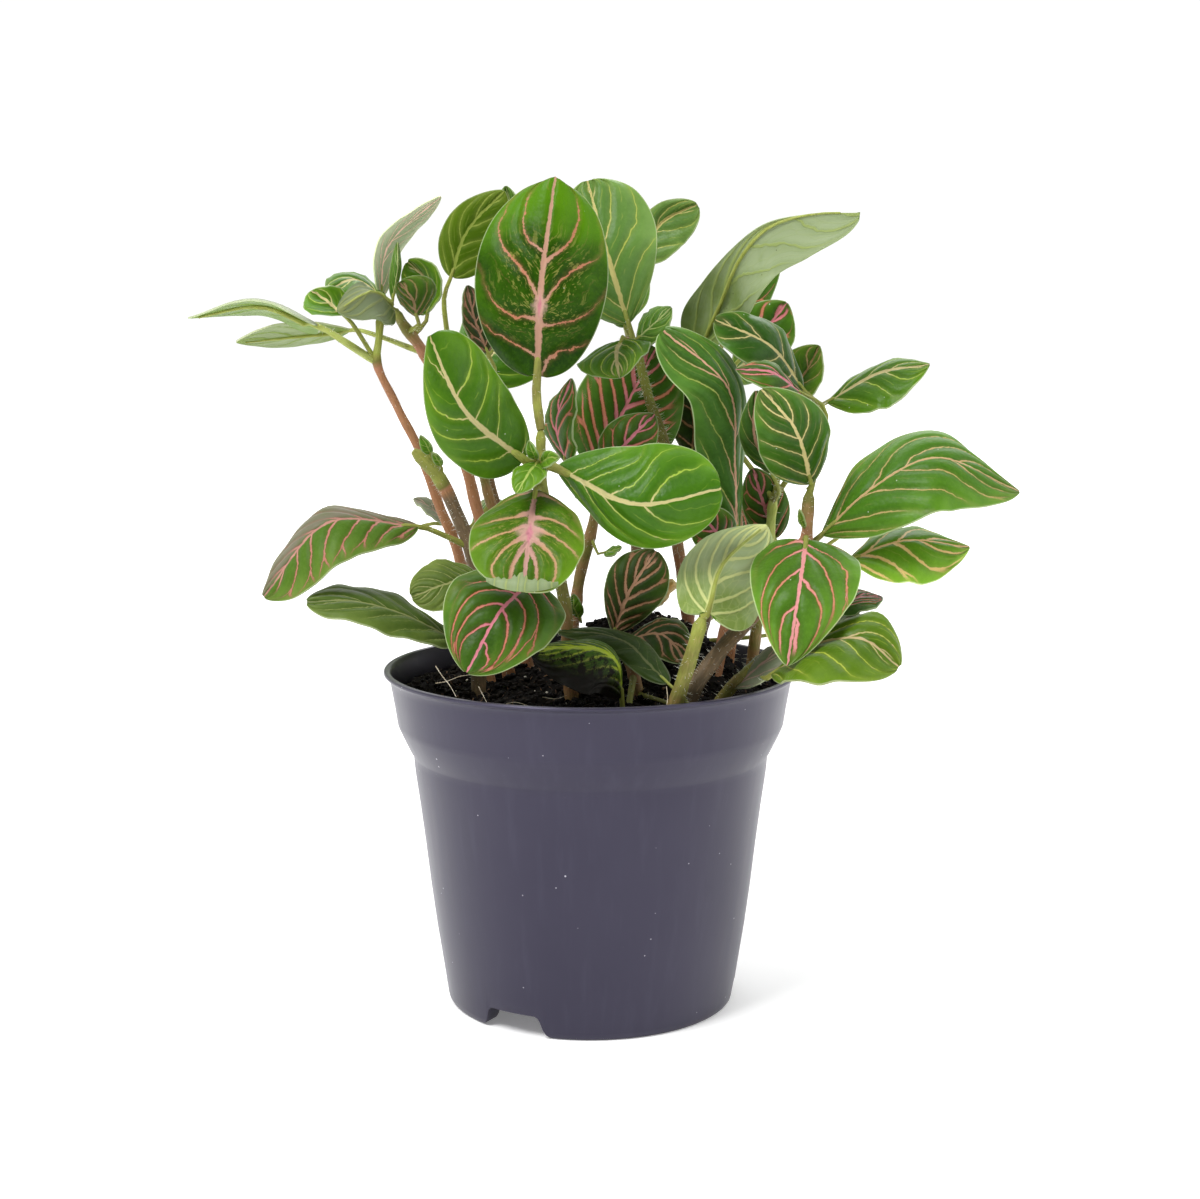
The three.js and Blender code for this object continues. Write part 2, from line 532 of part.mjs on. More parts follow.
// One leaf blade: a thin plate that swells on both sides of its rib, with a waved edge
function blade(leaf) {
  const { curve, heading, across, width } = bladeFrame(leaf);
  const breadth = across[0].length() + across[1].length();
  const wanted = Math.round(curve.getLength() / tile.length);
  const steps = THREE.MathUtils.clamp(wanted, tile.fewest, tile.most);
  const lanes = breadth > tile.fourLanes ? [-1, -0.5, 0, 0.5, 1] : [-1, 0, 1];
  const top = [];
  const under = [];
  for (let i = 0; i <= steps; i += 1) {
    const even = 0.5 - 0.5 * Math.cos((Math.PI * i) / steps);
    const t = THREE.MathUtils.lerp(ends, 1 - ends, even);
    const tangent = curve.getTangentAt(t);
    const bend = new THREE.Quaternion().setFromUnitVectors(heading, tangent);
    const [toLeft, toRight] = across.map((reach) => reach.clone().applyQuaternion(bend));
    const face = toRight.clone().sub(toLeft).cross(tangent).normalize();
    const size = breadth * width(t);
    for (const lane of lanes) {
      const side = Math.abs(lane);
      const spot = curve.getPointAt(t);
      spot.addScaledVector(lane < 0 ? toLeft : toRight, side * width(t));
      spot.addScaledVector(face, 2 * swell * size * side * (1 - side));
      const waving = Math.sin(wave.turns * t + wave.shift * lane);
      spot.addScaledVector(face, wave.height * size * side ** 2 * waving);
      top.push(spot.clone().addScaledVector(face, bladeThickness / 2));
      under.push(spot.clone().addScaledVector(face, -bladeThickness / 2));
    }
  }
  return fromCorners(top.concat(under), plateTriangles(steps, lanes.length));
}

// The stalk from a place on its stem to a blade, running on a little way under the rib
function petiole(leaf, stem) {
  const start = stemCurve(stem).getPoint(leaf.from / (stem.route.length - 1));
  const { curve: rib } = bladeFrame(leaf);
  const base = rib.getPointAt(0);
  const reach = base.distanceTo(start);
  const before = base.clone().addScaledVector(rib.getTangentAt(0), -stalk.swing * reach);
  const curve = curveThrough([start, before, base, rib.getPointAt(stalk.underRib)]);
  const steps = THREE.MathUtils.clamp(Math.ceil(reach / 10) + 1, 2, 4);
  return rod(curve, { thick: stalk.thick, sides: stalk.sides, steps });
}

const stemCurve = ({ route }) => curveThrough(route.map(seen));

function stemRod(stem, grow = 0) {
  const steps = Math.max(4, stem.route.length);
  return rod(stemCurve(stem), { thick: stem.thick, sides: stemSides, steps, grow });
}

// A stem with its leaves, as one solid. A chip that a blade's hollow leaves loose is dropped.
function leafyStem(stem) {
  const pieces = [stemRod(stem)];
  for (const leaf of stem.leaves) {
    pieces.push(petiole(leaf, stem));
    pieces.push(blade(leaf));
  }
  const parts = wasm.Manifold.union(pieces).decompose();
  return parts.sort((a, b) => b.volume() - a.volume())[0];
}

// A solid of revolution about Z from [radius, height] pairs
function turned(profile, sides) {
  const points = profile.map(([r, z]) => new THREE.Vector2(r, z));
  return new THREE.LatheGeometry(points, sides).rotateX(Math.PI / 2);
}

// The pot's wall outside, from the foot up to the lip: straight, then stepping out to the rim
// band. Inside it runs one wall's thickness away.
const outside = [
  [wallFoot.r, wallFoot.z],
  [wallTop.r, wallTop.z],
  [wallTop.r + 0.6, wallTop.z + 7.3],
  [wallTop.r + 4.8, wallTop.z + 14.8],
  [wallTop.r + 5.6, wallTop.z + 19.5],
];
const inside = outside.slice(1).map(([r, z]) => [r - wall, z - 0.3]);
const floorTop = floorUnder + wall;

function pot() {
  const profile = [
    [0, floorUnder],
    [wallFoot.r - footWidth - 1.2, floorUnder],
    [wallFoot.r - footWidth - 0.9, 0],
    [wallFoot.r - 0.8, 0],
    ...outside,
    [rimRadius - 2.6, rimHeight - lip.height],
    [rimRadius, rimHeight - lip.round],
    [rimRadius, rimHeight - 0.9],
    [rimRadius - 1.2, rimHeight],
    [rimRadius - lip.inset, rimHeight - lip.height - 0.5],
    ...inside.toReversed(),
    [wallFoot.r - 0.6, floorTop + 0.4],
    [wallFoot.r - 1.2, floorTop],
    [0, floorTop],
  ];
  let body = solidOf(turned(profile, potSides));
  for (let i = 0; i < notch.count; i += 1) {
    body = body.subtract(footNotch(notch.first + (360 * i) / notch.count));
  }
  for (let i = 0; i < drain.count; i += 1) {
    body = body.subtract(drainHole((2 * Math.PI * i) / drain.count, drain.ring));
  }
  return body.subtract(drainHole(0, 0));
}

// A cut through the foot, with sloping ends, at a bearing in degrees round the pot
function footNotch(bearing) {
  const half = THREE.MathUtils.degToRad(notch.width / 2) * wallFoot.r;
  const outline = new THREE.Shape([
    new THREE.Vector2(-half - 0.6, -1),
    new THREE.Vector2(half + 2.2, -1),
    new THREE.Vector2(half + 0.6, notch.height - 2.4),
    new THREE.Vector2(half - 1.6, notch.height - 0.5),
    new THREE.Vector2(-half + 1.4, notch.height - 0.7),
    new THREE.Vector2(-half - 0.4, notch.height - 2.2),
  ]);
  const cutter = new THREE.ExtrudeGeometry(outline, { depth: notch.depth, bevelEnabled: false });
  cutter.translate(0, 0, wallFoot.r - notch.depth + 1.5);
  cutter.rotateX(Math.PI / 2);
  cutter.rotateZ(THREE.MathUtils.degToRad(bearing + 90));
  return solidOf(cutter);
}

function drainHole(turn, ring) {
  const drill = new THREE.CylinderGeometry(drain.radius, drain.radius, 6 * wall, drain.sides);
  drill.rotateX(Math.PI / 2);
  drill.translate(ring * Math.cos(turn), ring * Math.sin(turn), floorUnder + wall / 2);
  return solidOf(drill);
}

// How far the peat stands above or below its level at a place: a mound, and clods that fade
// out at the pot's wall
function peat(x, y) {
  const far = Math.hypot((x - mound.x) / mound.alongX, (y - mound.y) / mound.alongY);
  const inward = THREE.MathUtils.smoothstep(clods.within - Math.hypot(x, y), 0, clods.fade);
  const coarse = Math.sin(0.42 * x + 1) * Math.cos(0.37 * y);
  const fine = Math.sin(0.7 * x - 0.6 * y);
  const lumps = clods.coarse * coarse + clods.fine * fine;
  return inward * (mound.height * Math.exp(-(far ** 3)) + lumps);
}

function soil() {
  const sides = inside.map(([r, z]) => [r - soilGap, Math.min(z, soilLevel - 2)]);
  const edge = inside.at(-1)[0] - soilGap;
  const surface = [];
  for (let i = 0; i < soilRings; i += 1) {
    surface.push([edge * (1 - i / soilRings), soilLevel]);
  }
  const profile = [
    [0, floorTop + soilGap],
    [wallFoot.r - 1.5, floorTop + soilGap],
    ...sides,
    ...surface,
    [0, soilLevel],
  ];
  const geometry = turned(profile, potSides);
  const spots = geometry.getAttribute("position");
  for (let i = 0; i < spots.count; i += 1) {
    if (spots.getZ(i) > soilLevel - 0.01) {
      spots.setZ(i, soilLevel + peat(spots.getX(i), spots.getY(i)));
    }
  }
  let body = solidOf(geometry);
  for (const stem of Object.values(stems)) {
    body = body.subtract(stemRod(stem, holeGap));
  }
  return body;
}

const plant = new THREE.Group();
plant.add(meshOf("pot", pot(), { color: 0x4a464f, roughness: 0.42, metalness: 0 }));
plant.add(meshOf("soil", soil(), { color: 0x17120f, roughness: 1, metalness: 0 }));
for (const [place, stem] of Object.entries(stems)) {
  const look = { color: stem.green, roughness: 0.5, metalness: 0 };
  plant.add(meshOf(`leafy_stem_${place}`, leafyStem(stem), look));
}

export default plant;
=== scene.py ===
import math

import bpy
import numpy as np
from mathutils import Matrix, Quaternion, Vector


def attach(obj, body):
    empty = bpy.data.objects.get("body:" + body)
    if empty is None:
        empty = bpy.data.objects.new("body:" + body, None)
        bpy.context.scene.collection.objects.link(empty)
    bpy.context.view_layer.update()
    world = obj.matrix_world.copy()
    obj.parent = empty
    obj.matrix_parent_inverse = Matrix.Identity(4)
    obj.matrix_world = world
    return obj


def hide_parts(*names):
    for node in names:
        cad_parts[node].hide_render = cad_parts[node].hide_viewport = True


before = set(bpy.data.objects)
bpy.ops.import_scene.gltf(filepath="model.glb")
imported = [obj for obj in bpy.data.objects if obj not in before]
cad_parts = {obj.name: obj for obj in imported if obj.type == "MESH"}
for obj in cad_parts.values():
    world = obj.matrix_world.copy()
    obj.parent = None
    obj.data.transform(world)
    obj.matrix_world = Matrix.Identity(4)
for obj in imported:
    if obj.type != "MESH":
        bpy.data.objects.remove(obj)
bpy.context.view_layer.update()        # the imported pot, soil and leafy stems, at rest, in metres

# A nerve plant in a nursery pot: leaves with coloured veins, hairy stems, peat and a dark pot.
# Numbers are millimetres unless a note says otherwise. Meshes are written in metres.

mm = 0.001
chance = np.random.default_rng(7)
scene = bpy.context.scene
scene.view_settings.view_transform = "Standard"

shot = dict(place=(0.0027, -0.5883, 0.2078), lookDown=8.72, lens=61.83, sensor=36)   # place in metres
camera = bpy.data.cameras.new("camera")
camera.lens = shot["lens"]
camera.sensor_width = shot["sensor"]
cameraObject = bpy.data.objects.new("camera", camera)
cameraObject.location = shot["place"]
cameraObject.rotation_euler = (math.radians(90 - shot["lookDown"]), 0, 0)
scene.collection.objects.link(cameraObject)
scene.camera = cameraObject


# Curves and places. A place on the plant is read in the picture as mm right of the pot's axis
# and mm above the rim, as they look at the pot's distance, with its depth behind the axis.

picture = dict(eye=(2.7, -588, 208), lookDown=8.7, rim=98)


def seen(spot):
    right, up, depth = spot
    down = math.radians(picture["lookDown"])
    eye = np.array(picture["eye"], float)
    ray = np.array([right, up * math.sin(down), picture["rim"] + up * math.cos(down)]) - eye
    return eye + ray * ((depth - eye[1]) / ray[1])


def curveThrough(places, samples=40):
    # a centripetal Catmull-Rom curve, kept as many short steps and how far along each one is
    knots = [np.array(place, float) for place in places]
    knots = [2 * knots[0] - knots[1]] + knots + [2 * knots[-1] - knots[-2]]
    share = np.linspace(0, 1, samples + 1)[:, None]
    path = [knots[1][None]]
    for before, here, there, after in zip(knots, knots[1:], knots[2:], knots[3:]):
        steps = (here - before, there - here, after - there)
        gapA, gapB, gapC = (np.linalg.norm(step) ** 0.5 for step in steps)
        leave = ((here - before) / gapA - (there - before) / (gapA + gapB) + (there - here) / gapB) * gapB
        reach = ((there - here) / gapB - (after - here) / (gapB + gapC) + (after - there) / gapC) * gapB
        bend = 3 * (there - here) - 2 * leave - reach
        twist = 2 * (here - there) + leave + reach
        path.append((here + leave * share + bend * share ** 2 + twist * share ** 3)[1:])
    path = np.vstack(path)
    gone = travelled(path)
    return dict(path=path, gone=gone / gone[-1], length=gone[-1], samples=samples)


def travelled(path):
    # how far along the path each place is
    return np.concatenate([[0], np.cumsum(np.linalg.norm(np.diff(path, axis=0), axis=1))])


def columns(*parts):
    return np.stack(np.broadcast_arrays(*parts), axis=1)


def placeOn(curve, share):
    share = np.atleast_1d(share)
    return columns(*[np.interp(share, curve["gone"], curve["path"][:, k]) for k in range(3)])


def unit(arrows):
    return arrows / np.linalg.norm(arrows, axis=-1, keepdims=True)


def headingOn(curve, share, step=0.004):
    share = np.clip(np.atleast_1d(share), step, 1 - step)
    return unit(placeOn(curve, share + step) - placeOn(curve, share - step))


def ease(value, low, high):
    # 0 below low and 1 above high, smoothly
    share = np.clip((value - low) / (high - low), 0, 1)
    return share * share * (3 - 2 * share)


# Meshes: each base shape is modelled once, and every copy has its own mesh

baseShapes = {}


def onlySelect(*objects):
    bpy.ops.object.select_all(action="DESELECT")
    for item in objects:
        item.select_set(True)
    bpy.context.view_layer.objects.active = objects[0]


def started(primitive, **settings):
    # a new primitive, with nothing else selected
    bpy.ops.object.select_all(action="DESELECT")
    primitive(**settings)
    return bpy.context.object


def editMode(on):
    bpy.ops.object.mode_set(mode="EDIT" if on else "OBJECT")


def selectInEdit(kind, action):
    editMode(True)
    bpy.ops.mesh.select_mode(type=kind)
    bpy.ops.mesh.select_all(action=action)


def faceOutward():
    bpy.ops.mesh.select_all(action="SELECT")
    bpy.ops.mesh.normals_make_consistent(inside=False)


def sheetGrid(lanes, steps):
    if ("sheet", lanes, steps) not in baseShapes:
        baseShapes["sheet", lanes, steps] = started(
            bpy.ops.mesh.primitive_grid_add, x_subdivisions=lanes, y_subdivisions=steps, size=2)
    return baseShapes["sheet", lanes, steps]


def rodBlank(sides, rings):
    if ("rod", sides, rings) not in baseShapes:
        blank = started(bpy.ops.mesh.primitive_cylinder_add, vertices=sides, radius=1, depth=2)
        selectInEdit("EDGE", "DESELECT")
        editMode(False)
        for edge in blank.data.edges:
            ends = [blank.data.vertices[k].co for k in edge.vertices]
            edge.select = abs(ends[0].z - ends[1].z) > 1
        editMode(True)
        bpy.ops.mesh.subdivide(number_cuts=rings - 1)
        editMode(False)
        baseShapes["rod", sides, rings] = blank
    return baseShapes["rod", sides, rings]


def copyOf(base, name):
    twin = bpy.data.objects.new(name, base.data.copy())
    scene.collection.objects.link(twin)
    return twin


def cornersOf(mesh):
    corners = np.zeros(len(mesh.vertices) * 3)
    mesh.vertices.foreach_get("co", corners)
    return corners.reshape(-1, 3)


def putCorners(mesh, corners):
    mesh.vertices.foreach_set("co", (np.asarray(corners) * mm).ravel())
    mesh.update()


def putReadings(mesh, **readings):
    # named attributes for the materials to read: three values each, one a corner or one for all
    for name, parts in readings.items():
        values = columns(*[np.broadcast_to(part, len(mesh.vertices)) for part in parts])
        attribute = mesh.attributes.new(name, "FLOAT_VECTOR", "POINT")
        attribute.data.foreach_set("vector", values.astype(np.float32).ravel())


def dress(item, *names):
    item.data.materials.clear()
    for name in names:
        item.data.materials.append(skins[name])


def addModifier(item, name, kind, **settings):
    modifier = item.modifiers.new(name, kind)
    for key, value in settings.items():
        setattr(modifier, key, value)


def applyAll(item):
    onlySelect(item)
    for modifier in list(item.modifiers):
        bpy.ops.object.modifier_apply(modifier=modifier.name)


def thicken(item, thickness, **settings):
    addModifier(item, "thickness", "SOLIDIFY", thickness=thickness * mm, **settings)
    applyAll(item)


def named(item, name):
    item.name = name
    item.data.name = name
    return item


def joined(name, items):
    onlySelect(*items)
    bpy.ops.object.join()
    return named(items[0], name)


def scatter(name, base, places, arrows, sizes, skin):
    # many turned and scaled copies of one small closed shape, in one mesh: sizes are per copy
    # (across, across, along), and along follows the arrow
    shape = cornersOf(base.data)
    faces = [list(face.vertices) for face in base.data.polygons]
    along = unit(np.asarray(arrows, float))
    helper = np.where(np.abs(along[:, 2:]) < 0.9, [[0, 0, 1]], [[1, 0, 0]])
    first = unit(np.cross(helper, along))
    turn = np.stack([first, np.cross(along, first), along], axis=1)
    spots = (shape[None] * np.asarray(sizes)[:, None]) @ turn + np.asarray(places)[:, None]
    count = len(shape)
    mesh = bpy.data.meshes.new(name)
    everyFace = [[k * count + corner for corner in face] for k in range(len(spots)) for face in faces]
    mesh.from_pydata((spots.reshape(-1, 3) * mm).tolist(), [], everyFace)
    item = bpy.data.objects.new(name, mesh)
    scene.collection.objects.link(item)
    dress(item, skin)
    return item


# Node helpers. They write to the tree that pen holds. A colour may be given as its hex digits.

pen = {}


def paint(code):
    parts = [int(code[k:k + 2], 16) / 255 for k in (0, 2, 4)]
    return (*[((part + 0.055) / 1.055) ** 2.4 if part > 0.04045 else part / 12.92 for part in parts], 1)


def put(kind, inputs, **settings):
    node = pen["tree"].nodes.new("ShaderNode" + kind)
    for key, value in settings.items():
        setattr(node, key, value)
    for key, value in inputs.items():
        if isinstance(value, bpy.types.NodeSocket):
            pen["tree"].links.new(value, node.inputs[key])
        else:
            node.inputs[key].default_value = paint(value) if isinstance(value, str) else value
    return node


def calc(operation, *values):
    return put("Math", dict(enumerate(values)), operation=operation).outputs[0]


def times(first, *others):
    for other in others:
        first = calc("MULTIPLY", first, other)
    return first


def plus(first, second):
    return calc("ADD", first, second)


def minus(first, second):
    return calc("SUBTRACT", first, second)


def scaled(value, factor, start):
    return calc("MULTIPLY_ADD", value, factor, start)


def sizeOf(value):
    return calc("ABSOLUTE", value)


def above(value, limit):
    return calc("GREATER_THAN", value, limit)


def fade(value, low, high):
    # 0 below low and 1 above high, smoothly
    return put("MapRange", {"Value": value, "From Min": low, "From Max": high},
               interpolation_type="SMOOTHSTEP").outputs["Result"]


def away(value, low, high):
    return minus(1.0, fade(value, low, high))


def tint(share, low, high):
    return put("Mix", {0: share, 6: low, 7: high}, data_type="RGBA").outputs[2]


def grain(place, scale, detail=2.0, rough=0.5):
    noise = {"Vector": place, "Scale": scale, "Detail": detail, "Roughness": rough}
    return put("TexNoise", noise).outputs["Fac"]


def partsOf(vector):
    # the three numbers of a vector or colour
    return put("SeparateXYZ", {0: vector}).outputs[:3]


def reading(name):
    return partsOf(put("Attribute", {}, attribute_name=name).outputs["Vector"])


def vectorOf(*parts):
    return put("CombineXYZ", dict(enumerate(parts))).outputs[0]


def objectPlace():
    return put("TexCoord", {}).outputs["Object"]


def specks(place, scale, few, near, far):
    # small round spots in some of the cells that the place is cut into
    cell = put("TexVoronoi", {"Vector": place, "Scale": scale})
    picked = above(partsOf(cell.outputs["Color"])[0], few)
    return times(away(cell.outputs["Distance"], near, far), picked)


def startSkin(name):
    material = bpy.data.materials.new(name)
    material.use_nodes = True
    pen["tree"] = material.node_tree
    return material


def finishSkin(material, colour, roughness, height, depth, strength=1.0, gloss=0.3):
    # depth is the bump's depth in mm
    shader = pen["tree"].nodes["Principled BSDF"]
    shader.inputs["Specular IOR Level"].default_value = gloss
    bump = put("Bump", {"Height": height, "Distance": depth * mm, "Strength": strength}).outputs[0]
    for name, socket in (("Base Color", colour), ("Roughness", roughness), ("Normal", bump)):
        pen["tree"].links.new(socket, shader.inputs[name])
    return material


# Leaf materials. Readings: leafPlace is how far across (-1 to 1) and along (0 to 1) the blade
# a corner is, and the leaf's own number. leafFlat is the same in mm, and the half width there.
# leafVein is the side vein's phase, with a vein at each half, how far apart the veins are in mm,
# and how bold they are. leafTone is brightness, hue and the blade's half breadth in mm.

stagger = 0.22        # how far the right side's veins run ahead of the left's, in veins
firstVein = (-1.6, -0.9)      # where the veins begin, counted in veins
# how the side veins wander, differ in width, narrow outwards and end, and the marks on the leaves, one of
# them the colour of a painted shadow
leafNet = dict(wander=0.22, apart=90.0, unlikeFrom=0.6, unlikeBy=0.8, narrowing=0.62, reach=0.7,
               reachBy=0.24)
leafMarks = dict(streak="b9b45c", star="e0b4a4", heart="de8c98", edge="c8d4a4", dust="d9e0cc",
                 shadow="0e0e08", soil="120e09")

# what a look doesn't say: jag is how ragged its veins are, halo the pale glow beside them, faint
# the thin lines between them, flare their spread at the midrib, fork their parting at the edge
# rimLight and tipLight are how much lighter the green is painted towards the edge and the tip: painted
# light
usualLook = dict(jag=0.2, halo=0.1, faint=0.0, flare=0.0, fork=0.0, streaks=0.0, soilAndShadow=0.0, outline="",
                 grey="", star=(), shine=0.36, gloss=0.14, bump=0.9, rimLight=0.75, tipLight=0.0,
                 ribFall=0.7)

leafLooks = dict(
    fresh=dict(deep="3c6c10", light="669a1e", vein="b0cc4c", rib="dccf92", veinWidth=0.16,
        ribWidth=(1.4, 0.26), jag=0.1, halo=0.14, faint=0.25, shine=0.34),
    cream=dict(deep="1a3c00", light="5c9010", vein="d08868", rib="d0a088", veinWidth=0.25,
        ribWidth=(1.5, 0.3), jag=0.55, halo=0.12, faint=0.1, shine=0.34, gloss=0.07, flare=0.6,
        streaks=0.7, star=(0.36, 0.6, 3.4), rimLight=0.45, tipLight=0.9, ribFall=0.85),
    star=dict(deep="35600c", light="72a222", vein="d6ab7c", rib="d6a698", veinWidth=0.42,
        ribWidth=(1.3, 0.5), jag=0.45, halo=0.16, faint=0.2, shine=0.34, gloss=0.08, flare=1.0,
        streaks=0.65, star=(0.45, 1.5, 5.5)),
    rosy=dict(deep="2a4c0e", light="588620", vein="cf8468", rib="d8808a", veinWidth=0.2,
        ribWidth=(0.65, 0.3), halo=0.05, outline="7c4024", flare=0.2, fork=1.0, shine=0.38),
    blush=dict(deep="325810", light="64962c", vein="c08262", rib="d08c88", veinWidth=0.2,
        ribWidth=(0.75, 0.3), jag=0.18, halo=0.05, outline="7c4024", flare=0.2, fork=0.15),
    pale=dict(deep="557f34", light="84aa54", vein="bcc45c", rib="d8cc80", veinWidth=0.13,
        ribWidth=(1.2, 0.26), jag=0.12, halo=0.12, faint=0.3),
    # the next look has pink veins and a painted grey sheen over one half of its blade
    pinkGrey=dict(deep="477218", light="7c9c42", vein="d08c78", rib="d69c8c", veinWidth=0.17,
        ribWidth=(0.6, 0.3), jag=0.25, halo=0.06, outline="7d5038", flare=0.2, fork=0.8, grey="8a8470",
        gloss=0.08, shine=0.42),
    dusky=dict(deep="1c3008", light="44601c", vein="a87a5c", rib="b98c70", veinWidth=0.26,
        ribWidth=(0.75, 0.3), jag=0.3, halo=0.08, outline="5a3c24", flare=0.3, fork=0.6, shine=0.42),
    mid=dict(deep="3c6a10", light="70a02c", vein="c0a868", rib="d0ac7c", veinWidth=0.18,
        ribWidth=(0.6, 0.22), jag=0.22, faint=0.1, fork=0.4),
    dark=dict(deep="284c0e", light="588a28", vein="d8cc84", rib="dccb8c", veinWidth=0.17,
        ribWidth=(0.8, 0.24), jag=0.16, faint=0.1, shine=0.32),
    young=dict(deep="588c1c", light="80b02c", vein="98c048", rib="bcd46c", veinWidth=0.08,
        ribWidth=(0.5, 0.2), jag=0.1),
    shade=dict(deep="284a12", light="557f2c", vein="8e9c48", rib="b98c74", veinWidth=0.1,
        ribWidth=(0.5, 0.25), jag=0.15, halo=0.08, faint=0.15, shine=0.4),
    dull=dict(deep="486620", light="7a9440", vein="8a9a50", rib="a4ac6c", veinWidth=0.1,
        ribWidth=(0.4, 0.2), halo=0.06, faint=0.4, shine=0.48),
    plain=dict(deep="44721a", light="6e9a34", vein="a2bc58", rib="bcc880", veinWidth=0.12,
        ribWidth=(0.45, 0.2), jag=0.12, halo=0.08, faint=0.2, shine=0.38),
    backLit=dict(deep="4c6c06", light="6e8a14", vein="9cac48", rib="aab854", veinWidth=0.16,
        ribWidth=(0.6, 0.25), jag=0.25, halo=0.3, faint=0.3, gloss=0.08, bump=0.4, shine=0.4),
    # the next look is a leaf lying on the soil: clods of soil over a painted shadow on its lower half
    soiled=dict(deep="2f5212", light="5c8424", vein="98a44a", rib="b4c83c", veinWidth=0.3,
        ribWidth=(1.6, 1.0), jag=0.3, halo=0.2, faint=0.3, soilAndShadow=1.0, shine=0.45),
    silver=dict(deep="7c8a68", light="b4bca0", vein="c4a898", rib="d4b0a2", veinWidth=0.14,
        ribWidth=(0.5, 0.25), bump=0.35, shine=0.45),
)


def bladeReadings():
    # what both faces of a blade start from: run counts the side veins with their wander, gap is
    # mm from the nearest one, and outward and spread are the distance from the rib
    across, along, leafNumber = reading("leafPlace")
    acrossMm, alongMm, half = reading("leafFlat")
    phase, pitch, bold = reading("leafVein")
    bright, hue, size = reading("leafTone")
    side = above(across, 0.0)
    own = vectorOf(acrossMm, alongMm, times(leafNumber, leafNet["apart"]))
    wander = scaled(grain(own, 0.3, 1.5), leafNet["wander"], -leafNet["wander"] / 2)
    straight = scaled(side, stagger, phase)
    run = plus(straight, wander)
    fromVein = sizeOf(minus(calc("FRACT", run), 0.5))
    return dict(across=across, along=along, leafNumber=leafNumber, acrossMm=acrossMm, half=half,
                pitch=pitch, bold=bold, bright=bright, hue=hue, size=size, side=side, own=own,
                straight=straight, run=run, begun=fade(run, *firstVein), fromVein=fromVein,
                gap=times(fromVein, pitch), outward=sizeOf(across), spread=sizeOf(acrossMm))


def toned(colour, here):
    return put("HueSaturation", {"Color": colour, "Value": here["bright"], "Hue": here["hue"]}).outputs[0]


